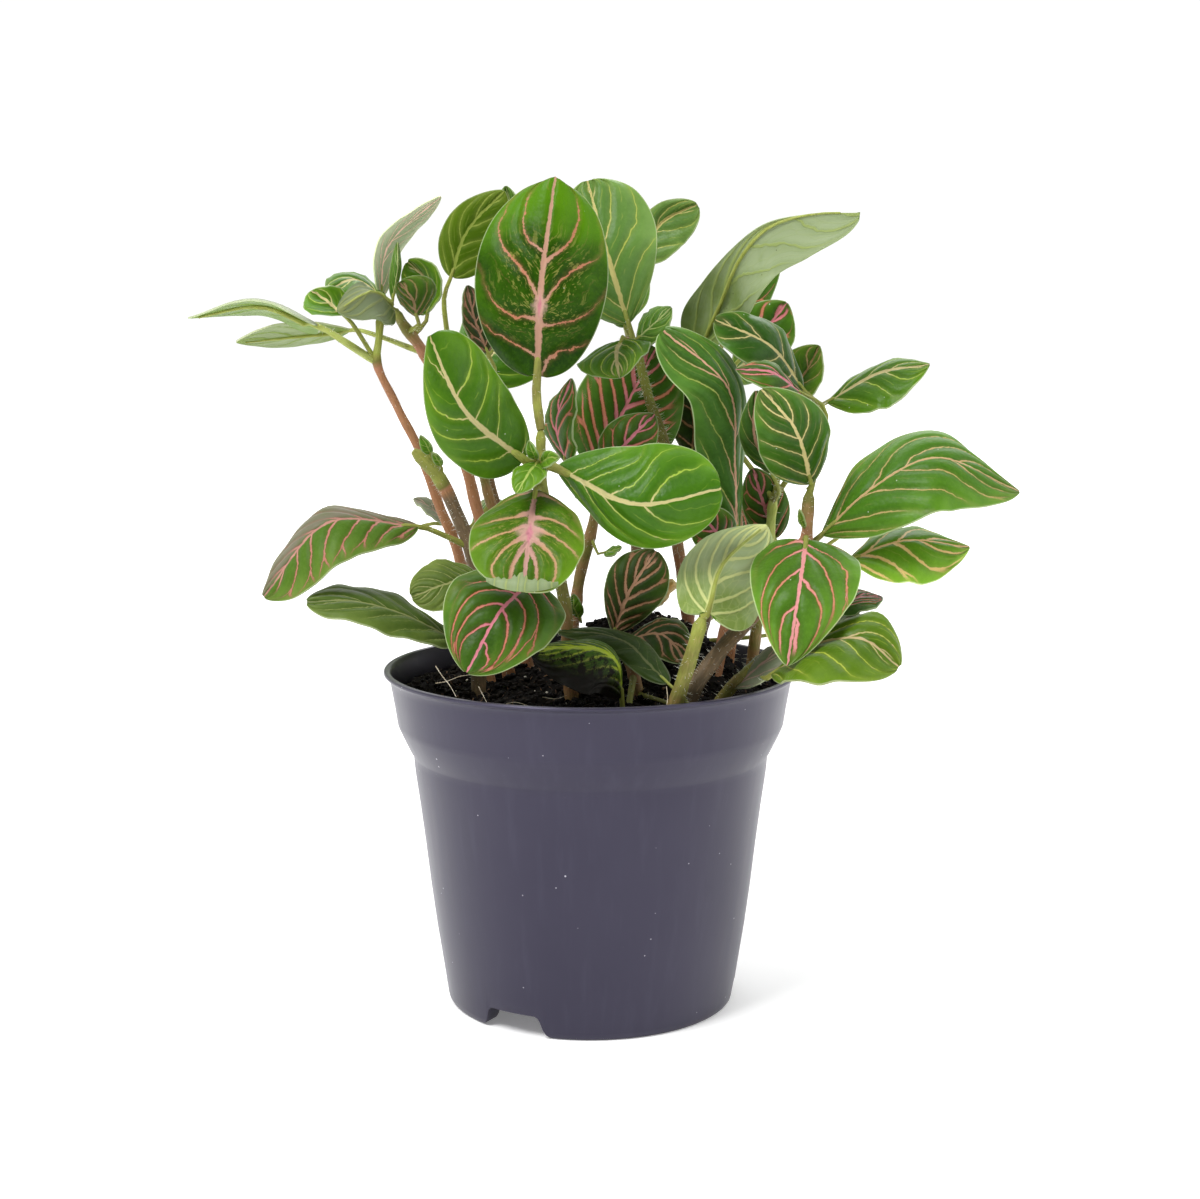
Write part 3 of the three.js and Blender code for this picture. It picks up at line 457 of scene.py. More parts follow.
def leafSkin(name, look):
    material = startSkin(name)
    look = {**usualLook, **look}
    here = bladeReadings()
    across, along, outward, spread = (here[key] for key in ("across", "along", "outward", "spread"))
    own, run, half, gap = (here[key] for key in ("own", "run", "half", "gap"))

    # the side veins: each one's own number decides its width and how far out it runs
    ownVein = put("TexWhiteNoise", {0: vectorOf(calc("FLOOR", run), here["side"], here["leafNumber"])})
    wideChance, reachChance, forkChance = partsOf(ownVein.outputs["Color"])
    if look["fork"]:
        parting = times(fade(outward, 0.62, 1.15), look["fork"] * 3.2, above(forkChance, 0.35))
        gap = sizeOf(minus(gap, parting))
    rag = scaled(grain(own, 1.3, 2.0, 0.7), 2 * look["jag"], -look["jag"])
    raggedGap = plus(gap, rag)
    width = times(scaled(wideChance, leafNet["unlikeBy"], leafNet["unlikeFrom"]),
                  scaled(here["bold"], look["veinWidth"], look["veinWidth"]),
                  scaled(outward, -leafNet["narrowing"], 1.15))
    if look["flare"]:
        width = scaled(away(spread, 0.3, 6.0), look["flare"] * 0.5, width)
    width = times(width, calc("MINIMUM", scaled(here["size"], 0.07, 0.2), 1.0))
    reachOut = scaled(reachChance, leafNet["reachBy"], leafNet["reach"])
    lasting = times(away(minus(outward, reachOut), -0.1, 0.12), here["begun"],
                    away(along, 0.88, 0.96), fade(calc("DIVIDE", half, here["size"]), 0.12, 0.42))
    # under the painted grey sheen on one half of the blade, the side veins fade
    if look["grey"]:
        lasting = times(lasting, scaled(fade(here["acrossMm"], 0.3, 2.5), -0.85, 1.0))
    sideVein = times(away(raggedGap, times(width, 0.7), plus(width, 0.12)), lasting)

    # the midrib narrows from the stalk to the tip
    ribLine = scaled(grain(own, 0.55, 1.0), 1.2, -0.6)
    ribGap = sizeOf(scaled(ribLine, 0.6, here["acrossMm"]))
    wide, narrow = look["ribWidth"]
    ribWidth = scaled(calc("POWER", along, look["ribFall"]), narrow - wide, wide)
    ribWidth = calc("MINIMUM", ribWidth, scaled(half, 0.07, 0.06))
    ribSoft = plus(ribWidth, calc("MINIMUM", times(half, 0.04), 0.15))
    midrib = away(scaled(rag, 0.5, ribGap), times(ribWidth, 0.75), ribSoft)

    # the green between: painted shade and light, darker towards the midrib and the base and lighter
    # towards the edge and the tip, then mottled
    mottle = grain(own, 0.11, 3.0, 0.6)
    fine = grain(own, 1.1, 3.0, 0.65)
    lightToEdge = plus(scaled(outward, look["rimLight"], times(along, 0.25)), scaled(mottle, 0.9, -0.45))
    lightToEdge = scaled(fade(along, 0.55, 1.0), look["tipLight"], lightToEdge)
    colour = tint(fade(lightToEdge, 0.3, 1.3), look["deep"], look["light"])
    colour = tint(scaled(fine, 0.6, -0.26), colour, look["light"])
    # painted light: the green is lighter mid-way between the side veins, where the blade swells
    colour = tint(times(fade(here["fromVein"], 0.0, 0.4), 0.16), colour, look["light"])
    # painted sheen: a grey veil over one half of the blade
    if look["grey"]:
        sheenShare = times(fade(here["acrossMm"], -1.5, 2.0), scaled(mottle, 0.8, 0.45))
        colour = tint(sheenShare, colour, look["grey"])
    halo = times(away(raggedGap, 0.1, 1.5), look["halo"], here["begun"])
    colour = tint(halo, colour, look["vein"])

    # faint lines halfway between the side veins
    middle = times(minus(0.5, here["fromVein"]), here["pitch"])
    thin = times(away(scaled(rag, 0.7, middle), 0.04, 0.24), fade(run, -0.5, 0.5),
                 fade(grain(own, 0.25, 1.0), 0.42, 0.6), away(outward, 0.6, 0.9), look["faint"])
    colour = tint(thin, colour, look["vein"])

    if look["streaks"]:
        dashPlace = vectorOf(times(run, 6.5), times(spread, 0.28), here["leafNumber"])
        dashes = times(fade(grain(dashPlace, 1.9, 3.0, 0.7), 0.54, 0.62), away(outward, 0.4, 0.95),
                       fade(along, 0.1, 0.35), away(along, 0.6, 0.85), look["streaks"])
        colour = tint(times(dashes, 0.65), colour, leafMarks["streak"])
    if look["outline"]:
        ring = times(away(raggedGap, width, plus(width, 0.26)), lasting)
        colour = tint(times(ring, 0.75), colour, look["outline"])
    near = scaled(here["size"], 0.3, 0.85)
    ribbed = calc("MAXIMUM", away(spread, 0.8, near), fade(grain(own, 0.5, 2.0), 0.55, 0.8))
    colour = tint(times(sideVein, 0.92), colour, tint(ribbed, look["vein"], look["rib"]))
    colour = tint(times(midrib, 0.95), colour, look["rib"])
    if look["star"]:
        starAt, starNear, starFar = look["star"]
        centre = sizeOf(minus(along, starAt))
        far = plus(times(centre, 30.0), scaled(rag, 2.0, spread))
        heart = away(scaled(centre, 10.0, ribGap), starNear * 0.4, starFar * 0.27)
        colour = tint(times(away(far, starNear, starFar), 0.85), colour, leafMarks["star"])
        colour = tint(times(heart, 0.85), colour, leafMarks["heart"])

    # the edge's pale line, and dust
    toRim = times(minus(1.0, outward), half)
    colour = tint(times(away(toRim, 0.1, 0.4), 0.6), colour, leafMarks["edge"])
    colour = tint(times(specks(own, 0.3, 0.8, 0.03, 0.075), 0.75), colour, leafMarks["dust"])
    # where a look lays soil on a leaf, the lower half of the blade is first painted near black as shadow,
    # then clods of soil go over it
    if look["soilAndShadow"]:
        low = away(across, -0.25, 0.0)
        clods = fade(grain(own, 0.5, 5.0, 0.8), 0.44, 0.56)
        colour = tint(times(low, fade(outward, 0.0, 0.75)), colour, leafMarks["shadow"])
        colour = tint(times(clods, low), colour, leafMarks["soil"])

    # the blade swells between the side veins and dips along the midrib, under a fine grain
    fromLine = sizeOf(minus(calc("FRACT", here["straight"]), 0.5))
    quilted = times(fade(fromLine, 0.0, 0.35), away(outward, 0.7, 1.0), fade(here["straight"], *firstVein))
    cells = put("TexVoronoi", {"Vector": own, "Scale": 0.8}).outputs["Distance"]
    height = minus(times(cells, -0.45), away(spread, 0.2, 1.1))
    height = plus(times(quilted, 1.1), times(height, 0.6))
    roughness = scaled(fine, 0.2, look["shine"] - 0.08)
    return finishSkin(material, toned(colour, here), roughness, height, 0.3, look["bump"], look["gloss"])


underLook = dict(pale="9cae80", green="6f8a38", vein="7f9a3e", paleVein="c4cc86", speck="34341a",
                 fine="a9b58a", beside="6f8a40", shine=0.5)


def underSkin():
    material = startSkin("leafUnderside")
    look = underLook
    here = bladeReadings()
    along, outward, own, run, gap = (here[key] for key in ("along", "outward", "own", "run", "gap"))
    veinWidth = scaled(outward, -0.25, 0.32)
    sideVein = times(away(gap, veinWidth, plus(veinWidth, 0.3)), away(outward, 0.75, 1.0), here["begun"])
    netPlace = vectorOf(times(run, 2.0), times(here["acrossMm"], 0.35), here["leafNumber"])
    net = put("TexVoronoi", {"Vector": netPlace, "Scale": 1.0}, feature="DISTANCE_TO_EDGE")
    netLine = away(net.outputs["Distance"], 0.02, 0.09)
    ribWidth = scaled(along, -0.6, 0.9)
    midrib = away(here["spread"], times(ribWidth, 0.6), plus(ribWidth, 0.25))
    fine = grain(own, 0.9, 3.0, 0.6)
    veinColour = tint(here["bold"], look["vein"], look["paleVein"])
    base = plus(along, scaled(grain(own, 0.12, 3.0, 0.6), 0.8, -0.4))
    colour = tint(fade(base, 0.0, 0.55), look["green"], look["pale"])
    colour = tint(scaled(fine, 0.3, -0.08), colour, look["fine"])
    colour = tint(times(away(gap, 0.4, 2.2), 0.22, here["begun"]), colour, look["beside"])
    for line, share in ((netLine, 0.15), (sideVein, 0.8), (midrib, 0.85)):
        colour = tint(times(line, share), colour, veinColour)
    colour = tint(times(specks(own, 0.42, 0.85, 0.05, 0.11), 0.8), colour, look["speck"])
    height = plus(times(netLine, 0.15), times(fine, 0.12))
    height = plus(times(calc("MAXIMUM", sideVein, midrib), 1.2), height)
    return finishSkin(material, toned(colour, here), scaled(fine, 0.15, look["shine"]), height, 0.3, 0.5)


# Stem skin. Its reading stalkPlace is how green the stem is there, mm along it, and the turn
# round it.

stemLook = dict(streak="c09a72", dark="4c4026", speck="c4b49a", shine=0.45, stops=(
    (0.0, "38361e"), (0.2, "6e5a42"), (0.4, "a0704a"), (0.55, "a87456"), (0.7, "706c30"),
    (0.85, "96a044"), (1.0, "b2be6e")))


def stemSkin():
    material = startSkin("stemSkin")
    green, along, turn = reading("stalkPlace")
    place = objectPlace()
    patch = grain(place, 130.0, 3.0, 0.6)
    fine = grain(place, 1400.0, 2.0, 0.6)
    fibre = grain(vectorOf(times(turn, 2.4), times(along, 0.22), 0.0), 1.6, 3.0, 0.6)
    ramp = put("ValToRGB", {0: plus(green, scaled(patch, 0.3, -0.15))})
    stops = ramp.color_ramp.elements
    while len(stops) < len(stemLook["stops"]):
        stops.new(0.5)
    for stop, (at, code) in zip(stops, stemLook["stops"]):
        stop.position = at
        stop.color = paint(code)
    colour = tint(times(fade(fibre, 0.5, 0.75), 0.3), ramp.outputs[0], stemLook["streak"])
    colour = tint(times(away(fibre, 0.28, 0.48), 0.35), colour, stemLook["dark"])
    colour = tint(times(fade(fine, 0.66, 0.8), 0.2), colour, stemLook["speck"])
    roughness = scaled(fine, 0.2, stemLook["shine"])
    return finishSkin(material, colour, roughness, scaled(fine, 0.4, fibre), 0.2)


def plainSkin(name, low, high, scale, roughness, depth, detail=3.0, gloss=0.3):
    # two tones mixed by noise on the object's own coordinates, with a bump of the same grain
    material = startSkin(name)
    patch = grain(objectPlace(), scale, detail, 0.6)
    colour = tint(fade(patch, 0.35, 0.68), low, high)
    return finishSkin(material, colour, scaled(patch, 0.2, roughness - 0.1), patch, depth, gloss=gloss)


potLook = dict(cloud=22.0, pulled=(260.0, 260.0, 16.0), dust=((170.0, 0.72, 0.055), (330.0, 0.8, 0.07)),
               dustColour="cfccd4", sheen="e4deff", shine=0.24, gloss=0.5)


def potSkin(name, low, high, streaked):
    # moulded plastic: clouded, with fine streaks up the wall and dust
    material = startSkin(name)
    place = objectPlace()
    cloud = grain(place, potLook["cloud"], 3.0, 0.55)
    pulled = put("Mapping", {"Vector": place, "Scale": potLook["pulled"]}).outputs[0]
    streak = grain(pulled, 1.0, 3.0, 0.6)
    fine = grain(place, 1500.0, 2.0, 0.6)
    colour = tint(fade(cloud, 0.3, 0.7), low, high)
    colour = tint(times(fade(streak, 0.45, 0.8), 0.3), colour, streaked)
    for scale, few, reach in potLook["dust"]:
        dust = specks(place, scale, few, reach * 0.5, reach)
        colour = tint(times(dust, 0.75), colour, potLook["dustColour"])
    roughness = plus(scaled(cloud, 0.1, potLook["shine"]), times(streak, 0.12))
    shader = pen["tree"].nodes["Principled BSDF"]
    shader.inputs["Specular Tint"].default_value = paint(potLook["sheen"])
    return finishSkin(material, colour, roughness, scaled(fine, 0.06, cloud), 0.3, 0.5, potLook["gloss"])


skins = {name: leafSkin("leaf" + name[0].upper() + name[1:], look) for name, look in leafLooks.items()}
skins["under"] = underSkin()
skins["stem"] = stemSkin()
skins["hair"] = plainSkin("stemHair", "d9dccb", "f0efe2", 900.0, 0.5, 0.02)
skins["peat"] = plainSkin("peat", "060504", "15110d", 420.0, 0.9, 0.5, 5.0, 0.1)
skins["crumb"] = plainSkin("peatCrumb", "080706", "1c1611", 260.0, 0.85, 0.3, 4.0, 0.12)
skins["chip"] = plainSkin("barkChip", "2c2018", "6a4e36", 500.0, 0.75, 0.3)
skins["perlite"] = plainSkin("perlite", "b9b2a4", "e6e1d6", 700.0, 0.7, 0.3)
skins["root"] = plainSkin("root", "b8a98e", "e2d8c4", 500.0, 0.6, 0.1)
skins["husk"] = plainSkin("dryHusk", "c79a58", "ecd9a2", 300.0, 0.6, 0.2)
skins["pot"] = potSkin("potPlastic", "272532", "2c2a37", "3c3a48")
# the pot's inside is the same plastic painted much darker: painted shade
skins["potInsideShade"] = potSkin("potInsideShade", "0e0e11", "141318", "1f1e24")
print("materials made")


# Blade outlines: half width = t ** base * (1 - t) ** tip, from leaf base to leaf tip

outlines = dict(oval=(0.55, 0.72), round=(0.5, 0.5), heart=(0.33, 0.8), taper=(0.85, 0.85),
                spoon=(0.95, 0.6), paddle=(0.78, 0.5), egg=(0.46, 0.42), blunt=(0.5, 0.38),
                broad=(0.75, 0.42), long=(0.35, 1.15), drop=(0.62, 0.6), cord=(0.42, 0.66),
                rolled=(0.45, 3), pad=(0.4, 0.8), wing=(0.75, 0.6))


def newLeaf(look, shape, start, left, right, rib, pairs=0, **more):
    return dict(look=look, shape=shape, start=start, left=left, right=right, rib=rib, pairs=pairs, **more)


# Each stem's route runs from its foot in the soil to its top. thick and green are given for both
# ends, turns is the part of the stem over which its green changes, and hairs is how many a mm.
# A leaf's start is its place on the route, counted in the route's points. Its blade follows its
# rib and reaches out to its left and right edges. pairs is how many side veins a side has, and
# rise their angle to the rib. Where veins is given instead, each has its place on the rib, its
# lean to the tip and its arch at the edge. young is how green the stalk is, bold how strong the
# veins are, and tone the leaf's brightness and how yellow it is.

# a leaf's tone brightness was matched to how bright the leaf looks where it stands, so it is partly its
# own tone and partly painted light and shade
stems = {}
stems["left"] = dict(thick=(3.8, 2), green=(0.42, 0.82), turns=(0.84, 0.9), hairs=1.5,
    route=[(-28.5, -8, 6), (-33.5, 12, 6), (-39, 34.5, 4), (-44.5, 48, 4), (-49.5, 62, 3), (-56, 75, 3),
    (-62, 88, 2), (-61.5, 95, 3), (-61, 102, 5)], leaves=[
    newLeaf("silver", "long", 6, (-95.5, 106.5, -4), (-95.5, 103, 19), [(-79, 98.5, 6), (-95.5, 105, 8),
        (-117, 101, 8)], 5, rise=30, tone=(1.4, 0), wave=0.3, swing=0.1, stalk=1.3, young=0.92),
    newLeaf("fresh", "oval", 6, (-83.5, 104, -6), (-71, 108.5, -6), [(-72, 102, -2), (-76.5, 106, -10),
        (-81, 109, -14)], 3, tone=(1.6, 0)),
    newLeaf("fresh", "oval", 8, (-69.5, 108.5, -4), (-66.5, 113, 15), [(-59.5, 106.5, 5), (-68, 112, 6),
        (-76.5, 109, -2)], 3, rise=35, tone=(1.15, 0), stalk=1.3, young=0.92),
    newLeaf("silver", "oval", 7.6, (-65.5, 117.5, 6), (-55.5, 120, 18), [(-61, 107.5, 8), (-59, 121.5, 10),
        (-43.5, 136.5, 8)], 5, rise=25, wave=0.4, tone=(2.2, 0)),
    newLeaf("plain", "oval", 8, (-58, 115.5, 4), (-55, 116, 4), [(-57.5, 106.5, 4), (-56, 115.5, 0),
        (-56, 123, 2)], 4, rise=30),
])
stems["inner"] = dict(thick=(4, 2.8), green=(0.42, 0.78), turns=(0.7, 1), hairs=1.5, route=[(-23, -8, 17),
    (-28, 25, 15), (-34, 49.5, 13), (-40.5, 73, 12), (-48.5, 91, 8), (-54, 98.5, 4), (-56.5, 103, -2)],
    leaves=[
    newLeaf("silver", "taper", 4, (-84.5, 100, 18), (-89.5, 92.5, 34), [(-69.5, 97.5, 24), (-86, 96, 26),
        (-103, 94, 24)], 5, rise=30, tone=(1.3, 0.5), wave=0.3, swing=0.06, stalk=1.1, young=0.9),
    newLeaf("plain", "oval", 6, (-65, 110, -10), (-62, 101, -22), [(-57, 103.5, -4), (-64, 108.5, -18),
        (-73.5, 103, -24)], 4, rise=25, tone=(0.68, 1), bold=0.6),
    newLeaf("fresh", "round", 4.6, (-55, 110, 15), (-42, 111, 4), [(-47.5, 102, 8), (-46, 110, 10),
        (-53, 117.5, 12)], 3, tone=(1.1, 1), rise=40),
    newLeaf("mid", "round", 4.8, (-55, 104.5, 0), (-45, 110.5, -2), [(-50.5, 101.5, -2), (-52, 107, -6),
        (-55.5, 111.5, -6)], 3, tone=(0.7, 0), rise=40, bold=1),
    newLeaf("rosy", "oval", 1, (-22.5, 39.5, 28), (-17.5, 26.5, 32), [(-27, 31, 20), (-20.5, 33, 30),
        (-12.5, 36.5, 40)], 6),
])
stems["backLeft"] = dict(thick=(3.8, 2), green=(0.5, 0.85), route=[(-17, -7, 28), (-24.5, 31, 27),
    (-30, 51, 26), (-37, 76, 27), (-41.5, 95, 28)], leaves=[
    newLeaf("silver", "oval", 1.8, (-46.5, 43.5, 18), (-45, 48, 30), [(-42, 41.5, 24), (-46.5, 46, 24),
        (-51.5, 48.5, 24)], 5),
    newLeaf("backLit", "oval", 4, (-43, 127.5, 32), (-26.5, 121, 30), [(-40.5, 113, 30), (-36, 126, 30),
        (-25, 138, 28)], 4, rise=42, turn=0.1, quilt=0.3),
    newLeaf("plain", "oval", 3.2, (-28.5, 123.5, 42), (-16, 126.5, 36), [(-23.5, 109, 38),
        (-21.5, 123.5, 40), (-24.5, 139.5, 38)], 5),
    newLeaf("dusky", "oval", 3, (-37, 99, 12), (-28.5, 101, 20), [(-30, 91, 16), (-33.5, 100, 14),
        (-36, 110.5, 14)], 5),
    newLeaf("fresh", "oval", 2, (-42, 65.5, 36), (-26.5, 68, 38), [(-31.5, 59.5, 30), (-35, 65.5, 38),
        (-39.5, 79.5, 44)], 6),
])
stems["cut"] = dict(thick=(4.4, 3.8), green=(0.16, 0.78), turns=(0.77, 0.83), hairs=4,
    route=[(-32.5, -9, -10), (-32.5, 16.5, -7), (-35, 34.5, -4), (-39.5, 45.5, -4), (-43.5, 54, -5),
    (-47, 58.5, -6), (-51.5, 62.5, -7)], leaves=[
    newLeaf("dull", "round", 1.2, (-41, 16, -26), (-40.5, 32, -14), [(-32.5, 26, -16), (-41.5, 24, -22),
        (-52, 20, -24)], 6, rise=50, tone=(1.1, 1.5)),
    newLeaf("pinkGrey", "wing", 2, (-72, 30, -29), (-79.5, 44.5, -12), [(-50, 40.5, -10),
        (-76.5, 41.5, -20), (-95, 20, -22)], 8, rise=42, sweep=0, turn=0, rightShape="round", swing=0.08),
    newLeaf("dull", "round", 0.9, (-60.5, 10, -34), (-63, 22.5, -14), [(-39, 7.5, -18), (-55.5, 15.5, -24),
        (-70, 19, -28), (-82.5, 18.5, -30)], 5, rise=30, sweep=0.2, tone=(1.05, 1)),
    newLeaf("young", "oval", 5, (-49.5, 63.5, -11), (-46.5, 65, -12), [(-46.5, 61.5, -8), (-47.5, 64, -11),
        (-49.5, 67, -12)], 3),
    newLeaf("young", "oval", 4, (-46, 60, -12), (-43.5, 61, -13), [(-43.5, 58, -8), (-44.5, 60, -12),
        (-46, 62, -14)], 3),
])
stems["front"] = dict(thick=(4.2, 2.6), green=(0.62, 0.82), hairs=3.5, route=[(-5.5, -10.5, -14),
    (-7, 13.5, -16), (-8.5, 23.5, -18), (-11, 35, -22), (-13.5, 48, -27), (-14.5, 58.5, -31),
    (-14.5, 68.5, -31)], leaves=[
    newLeaf("cream", "egg", 6, (-34, 109, -27), (4.5, 107.5, -26), [(-15.5, 84, -30), (-14.5, 109, -34),
        (-10.5, 140.5, -25)], tip=1.8, lobe=1.5, stalk=1.5, young=0.76, veins=[(0.04, 0.25, 0.04),
        (0.3, 0.04, 0.2), (0.37, 0.48, 0.12), (0.58, 0.46, 0.3)]),
    newLeaf("fresh", "pad", 5, (-44.5, 62.5, -42), (-26, 83, -35), [(-19.5, 60, -33), (-36.5, 74, -43),
        (-47, 96, -40)], rightShape="blunt", stalk=1.5, veins=[(0.1, 0.16, 0.13), (0.27, 0.17, 0.19),
        (0.43, 0.21, 0.2), (0.68, 0.17, 0.12)]),
    newLeaf("fresh", "broad", 5, (18, 64.5, -39), (12, 33.5, -43), [(-10, 57.5, -33), (13.5, 47, -49),
        (38, 51.5, -47)], stalk=1.6, tone=(1.06, 0), veins=[(0.09, 0.21, 0.09), (0.23, 0.25, 0.13),
        (0.41, 0.25, 0.2), (0.65, 0.27, 0.1)]),
    newLeaf("star", "drop", 4.2, (-1.5, 38, -46), (-35, 38, -46), [(-16, 51, -34), (-18, 36.5, -49),
        (-19.5, 24.5, -58), (-20.5, 21.5, -62)], fold=1, tone=(1.12, 0.5), veins=[(0.04, 0.2, 0.1),
        (0.31, 0.02, 0.12), (0.38, 0.22, 0.08), (0.47, 0.42, 0.2), (0.55, 1, 0)]),
    newLeaf("rosy", "cord", 2.6, (-7.5, 12, -42), (-44, 20, -44), [(-17, 24.5, -34), (-26.5, 15.5, -48),
        (-36, -2, -54)], lobe=6, tone=(1.35, 0), veins=[(0, -0.05, 0.45), (0.05, 0.29, 0.7),
        (0.25, 0.25, 0.85), (0.44, 0.27, 0.95), (0.6, 0.3, 1)]),
    newLeaf("young", "oval", 5, (-12, 63, -39), (-12, 58, -41), [(-14.5, 59, -34), (-12, 60.5, -39),
        (-9, 60.5, -42)], 3),
    newLeaf("young", "oval", 5, (-14.5, 53, -44), (-22.5, 56.5, -39), [(-15.5, 59, -34), (-18, 56, -41),
        (-21.5, 50, -45)], 3),
    newLeaf("young", "oval", 5, (-19, 62.5, -36), (-15.5, 62.5, -37), [(-16, 60, -33), (-17, 62.5, -36),
        (-18, 65.5, -37)], 3),
])
stems["centre"] = dict(thick=(3.8, 2.8), green=(0.6, 0.7), route=[(-7, -8, 12), (-5, 12, 10),
    (-3, 26.5, 8), (0, 38, 5), (2, 49.5, 0), (2.5, 57, -4)], leaves=[
    newLeaf("rosy", "round", 5, (-4, 79.5, 9), (27, 71.5, 12), [(1.5, 57, 6), (9, 73, 6), (19, 92.5, 12)],
        7, rise=42, tone=(1.5, 0), sweep=0.1, turn=0, bold=1),
    newLeaf("rosy", "oval", 5, (-13.5, 70, -2), (-5, 72, -18), [(-7, 59, -8), (-10, 70, -11),
        (-5.5, 83.5, -8)], 4, rise=40, tone=(1.4, 0), bold=0.6),
    newLeaf("rosy", "oval", 5, (1, 65, -14), (17, 59.5, -18), [(4, 56.5, -14), (11, 65.5, -19),
        (18.5, 73, -14)], 5, rise=45),
    newLeaf("young", "oval", 1.5, (-6.5, 17, 2), (-2.5, 18, 1), [(-3.5, 14, 4), (-5, 17.5, 1),
        (-5, 21, 0)], 3),
    newLeaf("young", "oval", 3, (6, 34.5, 1), (6.5, 32, -4), [(4, 33, 0), (6, 33.5, -2), (9, 34.5, -3)],
        3),
    newLeaf("mid", "oval", 4, (4, 71.5, 22), (18.5, 65.5, 26), [(4.5, 62, 14), (10, 70, 24),
        (14.5, 78.5, 36)], 6),
])
stems["hairy"] = dict(thick=(4.2, 2.6), green=(0.5, 0.78), hairs=8, route=[(29.5, -8, 26), (28, 16.5, 21),
    (25.5, 33.5, 14), (23.5, 51, 8), (21.5, 64.5, 4), (17, 77.5, 0), (13.5, 91, -4)], leaves=[
    newLeaf("pale", "round", 6, (-10, 119, 2), (20, 123.5, 0), [(11, 99.5, 0), (5, 119, -4), (-1, 141, 4)],
        4, rise=36, tone=(1.18, 0), rightShape="broad"),
    newLeaf("fresh", "heart", 6, (18, 94, -10), (-5, 85, -12), [(9, 94.5, -6), (7.5, 90.5, -14),
        (8.5, 83.5, -20)], 4, sweep=0.8),
    newLeaf("plain", "oval", 6, (15.5, 102, 2), (22.5, 97, -10), [(13.5, 95, -4), (18.5, 99.5, -6),
        (23.5, 104, -6)], 4),
    newLeaf("plain", "oval", 6, (3.5, 105, 12), (9, 107, 12), [(10, 98.5, 6), (6.5, 105.5, 10),
        (4.5, 110, 12)], 4),
    newLeaf("dusky", "oval", 3.6, (23.5, 71.5, 22), (33, 74, 16), [(29.5, 61.5, 20), (30, 71.5, 20),
        (27, 85.5, 20)], 5),
    newLeaf("dusky", "oval", 1, (29, 25.5, 30), (42, 22, 32), [(29.5, 19, 24), (34, 25, 30), (42, 33, 36)],
        6),
])
stems["erect"] = dict(thick=(4, 2.8), green=(0.45, 0.6), route=[(35, -8, 0), (39, 10.5, 0), (42, 23.5, 2),
    (42.5, 32.5, 2)], leaves=[
    newLeaf("shade", "paddle", 3, (30, 71.5, -14), (48, 65.5, 4), [(42.5, 35, 2), (42, 58.5, -8),
        (40, 80.5, -16), (21, 97.5, -18)], 5, rise=26, sweep=0.4, tone=(1.75, 0), bold=0.3),
    newLeaf("rosy", "oval", 2.6, (27.5, 39, -10), (40.5, 44.5, -8), [(39.5, 34.5, -4), (35.5, 40, -9),
        (30, 46, -10)], 5),
])
stems["tall"] = dict(thick=(4, 2.4), green=(0.45, 0.8), route=[(38.5, -7, 18), (42, 19, 17),
    (42.5, 42.5, 16), (40, 65.5, 15), (36.5, 84.5, 13), (34.5, 93, 12)], leaves=[
    newLeaf("plain", "paddle", 5, (58, 115, -10), (27, 103, 12), [(31.5, 91, 12), (38, 105, 8),
        (43.5, 118, 0), (51.5, 127, -4), (64, 131, -10), (78.5, 131.5, -14)], 5, rise=28, turn=0.1,
        bold=0.3, tone=(1.08, 0), rightShape="rolled"),
    newLeaf("rosy", "oval", 3, (33, 64, 30), (44.5, 65.5, 32), [(40.5, 59.5, 22), (37.5, 65.5, 32),
        (35, 77.5, 40)], 6),
])
stems["pale"] = dict(thick=(3.8, 2.6), green=(0.6, 0.95), route=[(46, -8, 10), (48, 10.5, 8), (51, 31, 8),
    (53, 48, 8)], leaves=[
    newLeaf("rosy", "oval", 3, (44.5, 103, 28), (59.5, 94, 24), [(45.5, 91, 26), (51.5, 98.5, 26),
        (57, 105.5, 24)], 2, rise=30, tone=(1.4, 0), sweep=0, bold=1),
    newLeaf("mid", "oval", 3, (56.5, 91, 36), (67.5, 83, 28), [(57, 76.5, 34), (62.5, 85.5, 33),
        (66.5, 93, 30)], 4),
    newLeaf("dark", "round", 3, (46, 87, -15), (56.5, 96.5, 0), [(61.5, 80.5, 0), (52, 93, -9),
        (36, 100.5, -9)], 4, rise=48, tone=(0.95, 0)),
    newLeaf("shade", "oval", 3, (42.5, 67.5, -14), (55, 70, -18), [(52.5, 56, -8), (47.5, 67, -16),
        (48, 80, -15)], 4, tone=(1.15, 0)),
    newLeaf("rosy", "oval", 2.4, (44, 46, 12), (58, 46, 12), [(53.5, 37, 10), (50.5, 46, 9),
        (47, 57.5, 8)], 5),
    newLeaf("fresh", "taper", 3, (80.5, 86.5, 18), (83.5, 74, 2), [(68.5, 76.5, 14), (83.5, 85, 10),
        (98.5, 87.5, 4)], 4, rise=46, tone=(1.12, 1)),
])
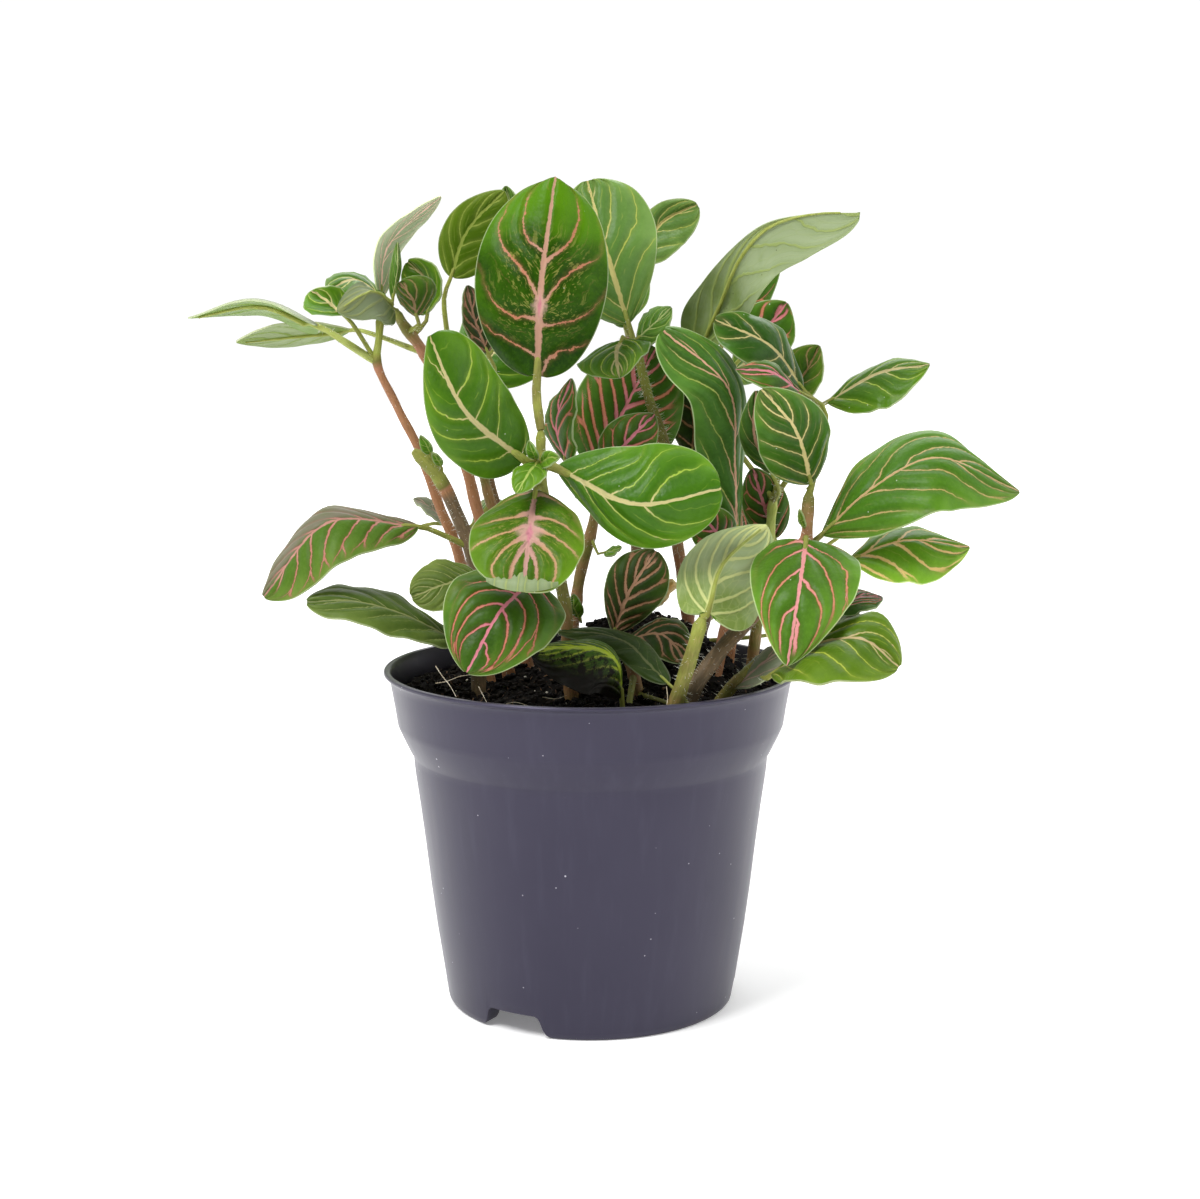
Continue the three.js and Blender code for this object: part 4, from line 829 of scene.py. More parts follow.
stems["right"] = dict(thick=(5, 2.8), green=(0.12, 0.78), turns=(0.2, 1), hairs=4, route=[(26, -14.5, -42),
    (31.5, -4, -40), (38.5, 5.5, -36), (47, 14.5, -30), (55.5, 25, -26), (62, 35, -26), (63, 44.5, -25),
    (63.5, 51, -23)], leaves=[
    newLeaf("rosy", "taper", 6.4, (50.5, 80.5, -29), (52.5, 88, -19), [(61.5, 79, -16), (52, 85.5, -25),
        (42, 86, -23)], 3, rise=25, tone=(1.2, 0)),
    newLeaf("dark", "oval", 7, (49, 62, -31), (69, 70, -27), [(64, 53, -23), (59.5, 68.5, -34),
        (49.5, 80.5, -34)], 5, rise=46, tone=(1.25, 0)),
    newLeaf("mid", "taper", 5, (86, 65.5, -14), (94, 41.5, -42), [(67, 38, -24), (81.5, 51.5, -29),
        (100, 60.5, -30), (124.5, 50.5, -26)], 5, rise=34, sweep=0.6, tone=(1.28, 0)),
    newLeaf("mid", "taper", 5, (91, 40.5, -14), (90.5, 23.5, -34), [(75, 31, -25), (91, 36.5, -27),
        (110, 34.5, -24)], 4, rise=38, tone=(2.3, 1), bold=1.2),
    newLeaf("blush", "heart", 5, (78.5, 27.5, -40), (46, 26, -42), [(62.5, 36.5, -32), (60.5, 22, -52),
        (57, 0, -60)], tone=(1.55, 1), lobe=4, bold=0.2, veins=[(0.02, 0.2, 0.45), (0.12, 0.42, 0.38),
        (0.36, 0.4, 0.34), (0.7, 0.36, 0.1)]),
    newLeaf("young", "oval", 6, (60, 42.5, -29), (62, 43, -30), [(62, 40, -27), (61, 42.5, -29),
        (60.5, 45.5, -31)], 3),
])
stems["lowFront"] = dict(thick=(4.4, 3.6), green=(0.7, 0.78), hairs=2.5, route=[(22.5, -16, -46),
    (26.5, -5.5, -46), (30, 6, -47), (32.5, 14, -46)], leaves=[
    newLeaf("plain", "cord", 3, (52, 22.5, -34), (24, 25, -38), [(34, 15.5, -46), (38, 29, -38),
        (51, 41, -28)], 5, rise=35, bold=1, sweep=0.4, tone=(1.5, 1), lobe=5),
])
stems["lowRight"] = dict(thick=(3.6, 2.6), green=(0.66, 0.85), hairs=4, route=[(35, -13.5, -30),
    (42, -5, -31), (52.5, 3.5, -28), (60.5, 7.5, -26)], leaves=[
    newLeaf("rosy", "oval", 3, (78, 23.5, -8), (77.5, 15, -26), [(71, 16.5, -18), (78, 20, -18),
        (84.5, 20, -16)], 4, rise=25),
    newLeaf("silver", "taper", 3, (74, 14.5, -18), (76, 10, -32), [(64, 6.5, -24), (74.5, 13, -26),
        (84, 15, -22)], 4, rise=25),
    newLeaf("fresh", "spoon", 2, (80, 15, -45), (75, -4, -77), [(52.5, -2.5, -40), (66.5, 6.5, -51),
        (79.5, 7.5, -58), (89.5, -0.5, -61)], 4, rise=42, tone=(1.1, 2)),
    newLeaf("silver", "taper", 1, (47, 2, -28), (53, -2.5, -38), [(41.5, -6.5, -32), (49.5, 0.5, -33),
        (59, 7.5, -32)], 3, rise=25, tone=(0.9, 1)),
])
stems["lowCentre"] = dict(thick=(3.2, 2.6), green=(0.6, 0.7), route=[(14.5, -12, -15), (12.5, -2.5, -13),
    (9, 5.5, -9)], leaves=[
    newLeaf("dusky", "spoon", 2, (2.5, 23, -4), (23, 22.5, -7), [(6.5, 9, -5), (11.5, 22, -7),
        (19, 33.5, -3)], 6, rise=32, sweep=0.1, tone=(1.45, 0)),
    newLeaf("dusky", "oval", 1, (22.5, 14, -12), (18, 3.5, -26), [(10, 7.5, -12), (21, 9, -20),
        (28, 1, -24)], 5, rise=42, tone=(1.2, 0)),
    newLeaf("soiled", "taper", 1, (-4.5, -7.5, -46), (-1.5, 7.5, -26), [(9, -9, -36), (8, 0.5, -38),
        (3.5, 4.5, -38), (-7.5, 5.5, -38), (-18, 4.5, -36)], 7, rise=30, wave=0.6, tone=(1.3, 0)),
    newLeaf("dull", "oval", 0.4, (6, 4, -26), (12.5, 9.5, -20), [(22.5, -5, -40), (17, 0.5, -34),
        (11, 6.5, -26), (2.5, 9.5, -20), (-10, 10, -18)], 4, tone=(0.5, -1), rise=30, wave=0.3, bold=-0.5),
])
stems["rearLeft"] = dict(thick=(4, 2.6), green=(0.12, 0.36), route=[(-12.5, -7, 40), (-20, 19, 42),
    (-26.5, 42.5, 45), (-32, 65.5, 49), (-36, 80, 53)], leaves=[
    newLeaf("fresh", "oval", 4, (-32.5, 110.5, 66), (-4.5, 100.5, 62), [(-35, 82, 56), (-25, 97.5, 62),
        (-12.5, 128, 66)], 6),
    newLeaf("mid", "oval", 4, (-40.5, 73, 64), (-23, 68, 66), [(-35, 79, 56), (-34, 71.5, 66),
        (-37.5, 59.5, 72)], 6),
    newLeaf("dusky", "oval", 3, (-45, 70.5, 62), (-34, 76.5, 56), [(-33.5, 67, 52), (-39.5, 71.5, 58),
        (-44.5, 81.5, 64)], 6),
    newLeaf("rosy", "oval", 2, (-28.5, 34.5, 62), (-6.5, 35, 64), [(-24, 42, 49), (-19.5, 38, 62),
        (-17.5, 25.5, 74)], 6),
    newLeaf("fresh", "oval", 2, (-35, 40, 60), (-26.5, 49.5, 62), [(-29.5, 42.5, 48), (-32, 44.5, 56),
        (-31.5, 48, 66)], 6),
    newLeaf("mid", "oval", 1, (-39.5, 18.5, 58), (-20, 13.5, 62), [(-23, 19, 46), (-30, 18, 60),
        (-35.5, 10, 74)], 6),
    newLeaf("dusky", "oval", 0.9, (-19.5, 10, 62), (-7, 15.5, 60), [(-16, 17.5, 46), (-12.5, 14.5, 60),
        (-12.5, 7.5, 74)], 6),
    newLeaf("rosy", "taper", 1.4, (-70, 41.5, 40), (-70, 32, 48), [(-53, 39.5, 36), (-69.5, 36.5, 44),
        (-86.5, 29, 48)], 6),
    newLeaf("fresh", "taper", 0.9, (-61, 20.5, 38), (-61, 11, 46), [(-46, 12, 32), (-59.5, 16.5, 42),
        (-76.5, 18, 48)], 6),
])
stems["rearMiddle"] = dict(thick=(4, 2.6), green=(0.12, 0.36), route=[(15, -7, 40), (14.5, 19, 42),
    (12.5, 42.5, 45), (11, 65.5, 48), (11, 83, 50), (11, 96, 52)], leaves=[
    newLeaf("pale", "round", 5, (19, 134.5, 38), (29, 124.5, 34), [(12.5, 117.5, 36), (21, 129, 38),
        (31, 134, 34)], 3, rise=38, tone=(1.1, 0)),
    newLeaf("mid", "oval", 5, (-2.5, 115.5, 66), (16.5, 115, 66), [(9.5, 100, 56), (6, 112, 62),
        (2, 131, 66)], 6),
    newLeaf("dusky", "oval", 4.2, (14.5, 74, 64), (29, 78.5, 66), [(12.5, 85.5, 54), (20, 79.5, 66),
        (22.5, 65.5, 74)], 6),
    newLeaf("rosy", "oval", 4, (-3.5, 78, 62), (10, 68.5, 66), [(8, 81.5, 54), (1.5, 77.5, 64),
        (0, 63.5, 72)], 6),
    newLeaf("fresh", "oval", 2.6, (2.5, 45.5, 66), (2.5, 58, 58), [(9.5, 57, 50), (2.5, 51, 60),
        (-4.5, 49, 68)], 6),
    newLeaf("mid", "oval", 2.6, (21, 59.5, 58), (19.5, 42.5, 66), [(14.5, 57.5, 50), (22.5, 52.5, 62),
        (32.5, 48, 70)], 6),
    newLeaf("dusky", "oval", 1, (6, 19, 62), (21, 20, 62), [(14.5, 18, 46), (13, 22, 60), (12.5, 25, 76)],
        6),
])
stems["rearRight"] = dict(thick=(4, 2.6), green=(0.12, 0.36), route=[(28, -7.5, 36), (33, 13.5, 38),
    (40, 36.5, 41), (41, 65.5, 46), (38, 86, 50)], leaves=[
    newLeaf("rosy", "oval", 4, (38, 113.5, 62), (54.5, 110.5, 64), [(38.5, 94.5, 54), (43.5, 107.5, 62),
        (54.5, 122, 66)], 6),
    newLeaf("fresh", "oval", 4, (46, 95, 62), (49.5, 83.5, 68), [(41, 85.5, 54), (47, 89, 62),
        (53.5, 90, 72)], 6),
    newLeaf("mid", "oval", 3, (51.5, 76.5, 60), (53.5, 59.5, 66), [(42.5, 68, 52), (52, 69, 62),
        (62.5, 63.5, 70)], 6),
    newLeaf("dusky", "oval", 3, (30.5, 70.5, 60), (39, 80, 64), [(39, 68, 52), (34.5, 74.5, 62),
        (29, 83, 68)], 6),
    newLeaf("rosy", "oval", 2, (45.5, 48, 60), (58, 44, 62), [(44, 38.5, 48), (51.5, 44.5, 58),
        (53.5, 54, 68)], 6),
    newLeaf("fresh", "oval", 1.5, (56, 34.5, 54), (56, 18, 64), [(43.5, 28, 46), (55.5, 27.5, 58),
        (70, 25, 66)], 6),
    newLeaf("mid", "oval", 1, (31.5, 18, 62), (44.5, 15.5, 62), [(36, 15, 46), (38, 19, 60), (39, 22, 74)],
        6),
    newLeaf("dusky", "oval", 1.6, (92, 61, 48), (91, 46.5, 54), [(78.5, 43.5, 44), (91, 53.5, 50),
        (107.5, 56, 54)], 6),
    newLeaf("rosy", "taper", 0.7, (71.5, 16.5, 46), (71.5, 5.5, 54), [(58, 10, 40), (71.5, 12, 50),
        (86, 8, 58)], 6),
])

# cell is the mesh's step, ends how far it stays from the base and tip, swing how much a face turns
# with its rib, and albedo the share of light that the leaves' colours give back
blade = dict(thickness=0.5, cell=1.0, steps=(10, 76), lanes=(3, 26), ends=0.004, swing=0.65,
             albedo=0.66, rise=48, turn=0.4, sweep=0.35, swell=0.12, groove=0.3, grooveWidth=0.9,
             quilt=0.65, fullQuilt=30, wave=dict(height=0.025, turns=14, shift=2),
             ripple=dict(height=0.22, turns=31, shift=3))


def sidePowers(leaf):
    # the powers of the left side's outline and of the right side's
    return [outlines[name] for name in (leaf["shape"], leaf.get("rightShape", leaf["shape"]))]


def bladeFrame(leaf):
    # the rib's curve, its heading where the blade is widest, and the reach to each edge there
    curve = curveThrough([seen(spot) for spot in leaf["rib"]])
    across = []
    for side, (base, tip) in zip(("left", "right"), sidePowers(leaf)):
        widest = base / (base + tip)
        heading = headingOn(curve, widest)[0]
        reach = seen(leaf[side]) - placeOn(curve, widest)[0]
        across.append(reach - heading * reach.dot(heading))
    return curve, heading, across


def bladeWidth(leaf, t, lane):
    # the share of the full half width, at t along the blade, on lane's side of the rib
    base, tip = (np.where(lane < 0, *powers) for powers in zip(*sidePowers(leaf)))
    widest = base / (base + tip)
    return t ** base * (1 - t) ** tip / (widest ** base * (1 - widest) ** tip)


def reachesAlong(curve, heading, across, shares):
    # at each share of the rib: its heading, the reach to each edge, and where the face looks
    tangents = headingOn(curve, shares)
    reaches = []
    for tangent in tangents:
        turn = Quaternion().slerp(Vector(heading).rotation_difference(Vector(tangent)), blade["swing"])
        reaches.append([tuple(turn @ Vector(reach)) for reach in across])
    reaches = np.array(reaches)
    return tangents, reaches, unit(np.cross(reaches[:, 1] - reaches[:, 0], tangents))


def veinPhase(leaf, length, half, t, side):
    # the side veins' places in order, half way between whole numbers: each leaves the midrib
    # at its own share of the length, leans towards the tip and arches more near the edge
    if "veins" in leaf:
        at, slope, arch = np.array(leaf["veins"], dtype=float).T
        spare = 25 / length
    else:
        at = (np.arange(leaf["pairs"]) + 0.5) / leaf["pairs"]
        turn = leaf.get("turn", blade["turn"])
        lean = half / (length * math.tan(math.radians(leaf.get("rise", blade["rise"]))))
        slope = lean * (1 - turn + 2 * turn * at)
        arch = slope * leaf.get("sweep", blade["sweep"])
        spare = 1 / leaf["pairs"]
    at = np.concatenate([[at[0] - 2 * spare, at[0] - spare], at, [at[-1] + spare]])
    slope, arch = np.pad(slope, (2, 1), "edge"), np.pad(arch, (2, 1), "edge")
    phase = np.zeros(len(t))
    for out in np.unique(side):
        here = side == out
        lines = np.maximum.accumulate(at + slope * out + arch * out ** 3)
        phase[here] = np.interp(t[here], lines, np.arange(len(at)) - 1.5)
    return phase


def veinPitch(spots, phase, row, lane, shape):
    # how far apart the side veins are, from how fast the phase changes over the blade
    order = np.lexsort((lane, row)).reshape(shape)
    net, wave = spots[order], phase[order]
    downs, sides = np.gradient(net, axis=0), np.gradient(net, axis=1)
    waveDown, waveSide = np.gradient(wave, axis=0), np.gradient(wave, axis=1)
    dd, ds, ss = (downs ** 2).sum(-1), (downs * sides).sum(-1), (sides ** 2).sum(-1)
    steep = ss * waveDown ** 2 - 2 * ds * waveDown * waveSide + dd * waveSide ** 2
    steep /= np.maximum(dd * ss - ds ** 2, 1e-4)
    pitch = np.zeros(len(spots))
    pitch[order.ravel()] = np.clip(1 / np.sqrt(np.maximum(steep, 1e-6)), 0.4, 25).ravel()
    return pitch


def bladeSheet(leaf, number):
    curve, heading, across = bladeFrame(leaf)
    spans = [np.linalg.norm(reach) for reach in across]
    breadth = sum(spans)
    steps = int(np.clip(curve["length"] / blade["cell"], *blade["steps"]))
    lanes = 2 * int(np.clip(breadth / blade["cell"] / 2, *blade["lanes"]))
    item = copyOf(sheetGrid(lanes, steps), "blade")
    flat = cornersOf(item.data)
    row = np.rint((flat[:, 1] + 1) / 2 * steps).astype(int)
    lane = np.rint((flat[:, 0] + 1) / 2 * lanes) / lanes * 2 - 1
    closer = 0.5 - 0.5 * np.cos(np.pi * np.arange(steps + 1) / steps)
    shares = blade["ends"] + (1 - 2 * blade["ends"]) * closer
    tangents, reaches, faces = reachesAlong(curve, heading, across, shares)
    t = shares[row]
    side = np.abs(lane)
    grow = bladeWidth(leaf, t, lane)
    reach = np.where(lane[:, None] < 0, reaches[row, 0], reaches[row, 1])
    span = np.where(lane < 0, *spans) * grow
    size = breadth * grow
    seed = number * 1.7
    phase = veinPhase(leaf, curve["length"], max(spans), t, np.rint(side * lanes).astype(int) / lanes)
    phase += 0.12 * np.sin(0.23 * lane * span + seed) + 0.1 * np.sin(0.31 * t * curve["length"] + 2 * seed)

    # the face swells between the veins, waves to the edge and dips along the midrib
    runs = phase + stagger * (lane > 0)
    pillow = (np.abs(np.sin(np.pi * (runs + 0.5))) ** 0.7 - 0.6) * ease(runs, -1.5, -0.8)
    inner = ease(side, 0.02, 0.2) * (1 - ease(side, 0.75, 1)) * ease(grow, 0.1, 0.6)
    lift = blade["swell"] * size * side * (1 - side)
    wave, ripple, calm = blade["wave"], blade["ripple"], leaf.get("wave", 1)
    lift += calm * wave["height"] * size * side ** 2 * np.sin(wave["turns"] * t + wave["shift"] * lane)
    rippling = np.sin(ripple["turns"] * t + ripple["shift"] * lane + seed)
    lift += calm * ripple["height"] * side ** 3 * rippling * ease(grow, 0.2, 0.7)
    lift += blade["quilt"] * leaf.get("quilt", 1) * min(1, breadth / blade["fullQuilt"]) * pillow * inner
    lift -= blade["groove"] * np.exp(-(side * span / blade["grooveWidth"]) ** 2) * ease(grow, 0.1, 0.5)
    spots = placeOn(curve, shares)[row] + reach * (side * grow)[:, None] + faces[row] * lift[:, None]
    onward = leaf.get("tip", 0) * ease(t, 0.955, 1) * (1 - side)
    onward -= leaf.get("lobe", 0) * side ** 2 * grow * (1 - ease(t, 0, 0.55))
    spots += tangents[row] * onward[:, None]
    putCorners(item.data, spots)

    # the tone's brightness is partly the leaf's own and partly painted light and shade
    light, yellow = leaf.get("tone", (1, 0))
    own = np.random.default_rng(number)
    bright = blade["albedo"] * light * own.uniform(0.92, 1.08)
    hue = 0.5 - 0.01 * yellow + own.uniform(-0.006, 0.006)
    pitch = veinPitch(spots, phase, row, lane, (steps + 1, lanes + 1))
    putReadings(item.data, leafPlace=(lane, t, number % 97 / 97),
                leafFlat=(lane * span, t * curve["length"], span),
                leafVein=(phase, pitch, leaf.get("bold", 0)), leafTone=(bright, hue, breadth / 2))
    dress(item, leaf["look"], "under")
    thicken(item, blade["thickness"], offset=0, material_offset=1, material_offset_rim=0)
    return item


fold = dict(turn=0.72, height=4.6, lanes=48, rows=8, stand=0.9, lean=0.9, lift=0.2, ragged=0.2,
            thickness=0.35, bright=0.693)


def foldedTip(leaf):
    # the end of the blade turned up and back over its face, so that its underside shows, with
    # a ragged edge
    curve, heading, across = bladeFrame(leaf)
    item = copyOf(sheetGrid(fold["lanes"], fold["rows"]), "foldedTip")
    flat = cornersOf(item.data)
    u, v = flat[:, 0], (flat[:, 1] + 1) / 2
    t = 0.5 + 0.5 * np.cos(fold["turn"] * u)
    reach = np.where(u[:, None] < 0, *across)
    face = unit(np.cross(across[1] - across[0], heading))
    up = unit(placeOn(curve, 0.6) - placeOn(curve, 1))[0]
    ragged = 1 + fold["ragged"] * (np.sin(9 * u + 1) + 0.6 * np.sin(29 * u) + 0.5 * np.sin(47 * u + 2))
    height = fold["height"] * (1 - np.abs(u) ** 1.4) * np.where(v > 0.8, ragged, 1)
    out = fold["stand"] * np.sin(np.pi * np.clip(v, 0, 1) ** 0.7) + fold["lean"] * v + fold["lift"]
    spots = placeOn(curve, t) + reach * bladeWidth(leaf, t, u)[:, None]
    putCorners(item.data, spots + up * (height * v)[:, None] + face * out[:, None])
    putReadings(item.data, leafPlace=(0.4 * u, 0.4 + 0.3 * v, 0.3), leafFlat=(16 * u + 30, 5 * v, 15),
                leafVein=(3 * u + 6, 6, 0.6), leafTone=(fold["bright"], 0.5, 15))
    dress(item, "under")
    thicken(item, fold["thickness"], offset=0)
    return item


def rod(name, places, radii, sides, green, number, skin="stem"):
    # a tube through the places: radii and green are given for each of them
    places = np.asarray(places)
    rings = len(places) - 1
    item = copyOf(rodBlank(sides, rings), name)
    blank = cornersOf(item.data)
    ring = np.rint((blank[:, 2] + 1) / 2 * rings).astype(int)
    turn = np.arctan2(blank[:, 1], blank[:, 0])
    tangents = unit(np.gradient(places, axis=0))
    first = np.zeros_like(places)
    guess = np.array([1.0, 0, 0]) if abs(tangents[0][0]) < 0.9 else np.array([0, 1.0, 0])
    for k, tangent in enumerate(tangents):
        guess = unit(guess - tangent * guess.dot(tangent))
        first[k] = guess
    second = np.cross(tangents, first)
    lumps = 1 + 0.05 * np.sin(3 * turn + 0.9 * ring + number) + 0.04 * np.sin(2 * turn - 1.3 * ring)
    size = (np.asarray(radii)[ring] * lumps)[:, None]
    out = np.cos(turn)[:, None] * first[ring] + np.sin(turn)[:, None] * second[ring]
    putCorners(item.data, places[ring] + size * out)
    along = travelled(places)[ring] + 40 * number
    putReadings(item.data, stalkPlace=(np.asarray(green)[ring], along, np.abs(turn)))
    dress(item, skin)
    return item


hair = dict(length=(0.8, 1.9), radius=0.055, lean=0.35, sunk=0.92)
hairBase = started(bpy.ops.mesh.primitive_cone_add, vertices=3, radius1=1, radius2=0.12, depth=1,
                   location=(0, 0, 0.5))
bpy.ops.object.transform_apply(location=True)


def hairs(curve, thick, share, count, size=1):
    # short fine hairs that stand out of a stem
    count = max(count, 2)
    at = chance.uniform(*share, count)
    middle = placeOn(curve, at)
    along = headingOn(curve, at)
    loose = chance.normal(size=(count, 3))
    out = unit(loose - along * (loose * along).sum(1, keepdims=True))
    radius = (thick[0] + (thick[1] - thick[0]) * at) / 2 * hair["sunk"]
    lengths = chance.uniform(*hair["length"], count) * size
    arrows = out + along * chance.uniform(-hair["lean"], hair["lean"], (count, 1))
    sizes = columns(hair["radius"], hair["radius"], lengths)
    return scatter("hairs", hairBase, middle + out * radius[:, None], arrows, sizes, "hair")


stalk = dict(thick=(2, 1.3), swing=0.35, tipThick=0.5, underBlade=0.85, ribShares=(0.1, 0.92),
             sides=8, step=2.2, steps=(4, 16), ribStep=4, ribSteps=(4, 14), smallest=0.45, full=45,
             young=0.8, ribGreen=(0.84, 0.9), usual=1.2, foot=(1.25, 0.75), hairs=1.6, hairSize=0.7,
             hairShares=(0.05, 0.85))


def leafKnot(leaf, curve):
    # the leaf's place in the short steps of its stem's curve
    return int(round(leaf["start"] * curve["samples"]))


def stalkRod(leaf, stemCurve, number):
    # the leaf stalk, which runs on under the blade as its raised midrib
    start = stemCurve["path"][leafKnot(leaf, stemCurve)]
    curve, heading, across = bladeFrame(leaf)
    base = placeOn(curve, 0)[0]
    reach = np.linalg.norm(base - start)
    before = base - headingOn(curve, 0)[0] * leaf.get("swing", stalk["swing"]) * reach
    free = curveThrough([start, before, base, placeOn(curve, 0.08)[0]])
    freeSteps = int(np.clip(reach / stalk["step"], *stalk["steps"]))
    ribSteps = int(np.clip(curve["length"] / stalk["ribStep"], *stalk["ribSteps"]))
    shares = np.linspace(*stalk["ribShares"], ribSteps)
    breadth = sum(np.linalg.norm(item) for item in across)
    big = leaf.get("stalk", 1) * min(1, stalk["smallest"] + breadth / stalk["full"])
    thick, thin = (big * item for item in stalk["thick"])
    ribRadii = np.linspace(thin, stalk["tipThick"] * big, ribSteps) / 2
    faces = reachesAlong(curve, heading, across, shares)[2]
    under = placeOn(curve, shares) - faces * (blade["groove"] + stalk["underBlade"] * ribRadii)[:, None]
    places = np.vstack([placeOn(free, np.linspace(0, 0.985, freeSteps)), under])
    radii = np.concatenate([np.linspace(thick, thin, freeSteps) / 2, ribRadii])
    radii[0] *= stalk["foot"][0] if big < stalk["usual"] else stalk["foot"][1]
    young = leaf.get("young", stalk["young"])
    green = [np.linspace(young - 0.03, young, freeSteps), np.linspace(*stalk["ribGreen"], ribSteps)]
    downy = hairs(free, (thick, thin), stalk["hairShares"], int(reach * stalk["hairs"]), stalk["hairSize"])
    return [rod("stalk", places, radii, stalk["sides"], np.concatenate(green), number), downy]


stemShape = dict(sides=14, step=2.2, knot=0.13, knotReach=2.0, buried=5, hairs=2.5,
                 hairShares=(0.05, 0.98))


def stemRod(stem, curve, number):
    shares = np.linspace(0, 1, int(curve["length"] / stemShape["step"]) + 1)
    places = placeOn(curve, shares)
    thick, thin = stem["thick"]
    radii = (thick + (thin - thick) * shares) / 2
    for leaf in stem["leaves"]:
        gap = (shares - curve["gone"][leafKnot(leaf, curve)]) * curve["length"] / stemShape["knotReach"]
        radii *= 1 + stemShape["knot"] * np.exp(-gap ** 2)
    radii[-1] *= 0.5
    low, high = stem["green"]
    begin, end = stem.get("turns", (0, 1))
    green = low + (high - low) * np.clip((shares - begin) / (end - begin), 0, 1) ** 1.4
    places = np.vstack([places[:1] - headingOn(curve, 0) * stemShape["buried"], places])
    radii, green = (np.append(item[0], item) for item in (radii, green))
    return rod("stem", places, radii, stemShape["sides"], green, number)


def settle(piece, node, angle):
    # the piece, smooth but for its sharp edges, rides on the root in place of the frame's node
    onlySelect(piece)
    bpy.ops.object.shade_smooth_by_angle(angle=math.radians(angle))
    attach(piece, "root")
    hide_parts(node)


slots = {place: "leaf_fresh" for place in ("inner", "cut", "front", "right", "lowRight")}
slots.update({place: "leaf_grey" for place in ("left", "tall", "lowFront")})
number = 0
for place, stem in stems.items():
    curve = curveThrough([seen(spot) for spot in stem["route"]])
    parts = [stemRod(stem, curve, number)]
    for leaf in stem["leaves"]:
        number += 1
        parts += stalkRod(leaf, curve, number)
        parts.append(bladeSheet(leaf, number))
        if leaf.get("fold"):
            parts.append(foldedTip(leaf))
    count = int(curve["length"] * stem.get("hairs", stemShape["hairs"]))
    parts.append(hairs(curve, stem["thick"], stemShape["hairShares"], count))
    piece = joined("leafyStem" + place[0].upper() + place[1:], parts)
    settle(piece, "leafy_stem_" + place, 50)
print("leafy stems made:", number, "leaves")


# Soil. mound is its place, height and spread, and low the radius and height of the soil's waist
# and foot.

bed = dict(level=91.5, radius=54.9, cells=120, mound=(15, 14, 19, 25, 19), coarse=0.8, fine=0.5, within=54,
           fade=12, low=((49.6, 66), (40.2, 7.7)), spread=52.5)


def peatHeight(x, y):
    moundX, moundY, high, wideX, wideY = bed["mound"]
    far = np.hypot((x - moundX) / wideX, (y - moundY) / wideY)
    inward = ease(bed["within"] - np.hypot(x, y), 0, bed["fade"])
    lumps = bed["coarse"] * np.sin(0.42 * x + 1) * np.cos(0.37 * y)
    lumps += bed["fine"] * np.sin(0.7 * x - 0.6 * y)
    return bed["level"] + inward * (high * np.exp(-far ** 3) + lumps)


def cloudTexture(name, size):
    texture = bpy.data.textures.new(name, "CLOUDS")
    texture.noise_scale = size * mm
    texture.noise_depth = 3
    return texture


def soilBed():
    item = copyOf(sheetGrid(bed["cells"], bed["cells"]), "soilBed")
    square = cornersOf(item.data)
    x = square[:, 0] * np.sqrt(1 - square[:, 1] ** 2 / 2) * bed["radius"]
    y = square[:, 1] * np.sqrt(1 - square[:, 0] ** 2 / 2) * bed["radius"]
    putCorners(item.data, columns(x, y, peatHeight(x, y)))
    for name, size, strength in (("clods", 6, 3.0), ("grains", 1.5, 1.8)):
        addModifier(item, name, "DISPLACE", texture=cloudTexture(name, size), strength=strength * mm,
                    mid_level=0.55, direction="Z", texture_coords="LOCAL")
    applyAll(item)
    selectInEdit("EDGE", "DESELECT")
    bpy.ops.mesh.select_non_manifold()
    for radius, height in bed["low"]:
        bpy.ops.mesh.extrude_region_move()
        editMode(False)
        corners = cornersOf(item.data) / mm
        picked = np.array([vertex.select for vertex in item.data.vertices])
        bearing = np.arctan2(corners[picked, 1], corners[picked, 0])
        corners[picked] = columns(radius * np.cos(bearing), radius * np.sin(bearing), height)
        putCorners(item.data, corners)
        editMode(True)
    bpy.ops.mesh.edge_face_add()
    faceOutward()
    editMode(False)
    dress(item, "peat")
    return item


crumbs = (
    dict(name="crumbs", skin="crumb", count=2600, size=(0.25, 1.3), flat=(0.4, 1.0)),
    dict(name="fibres", skin="chip", count=260, size=(0.12, 0.3), flat=(3.0, 9.0)),
    dict(name="chips", skin="chip", count=120, size=(0.3, 0.9), flat=(0.3, 0.7)),
    dict(name="perlite", skin="perlite", count=60, size=(0.25, 0.6), flat=(0.6, 1.0)),
)
crumbBase = started(bpy.ops.mesh.primitive_ico_sphere_add, subdivisions=1, radius=1)
editMode(True)
bpy.ops.transform.vertex_random(offset=0.3, seed=4)
editMode(False)


def looseBits(kind):
    count = kind["count"]
    radius = bed["spread"] * np.sqrt(chance.uniform(0, 1, count))
    bearing = chance.uniform(0, 2 * np.pi, count)
    x, y = radius * np.cos(bearing), radius * np.sin(bearing)
    size = chance.uniform(*kind["size"], count)
    breadths = size * chance.uniform(0.6, 1, count)
    heights = size * chance.uniform(*kind["flat"], count)
    arrows = chance.normal(size=(count, 3)) + [0, 0, 0.01]
    places = columns(x, y, peatHeight(x, y) + 0.3 * size)
    return scatter(kind["name"], crumbBase, places, arrows, columns(size, breadths, heights), kind["skin"])


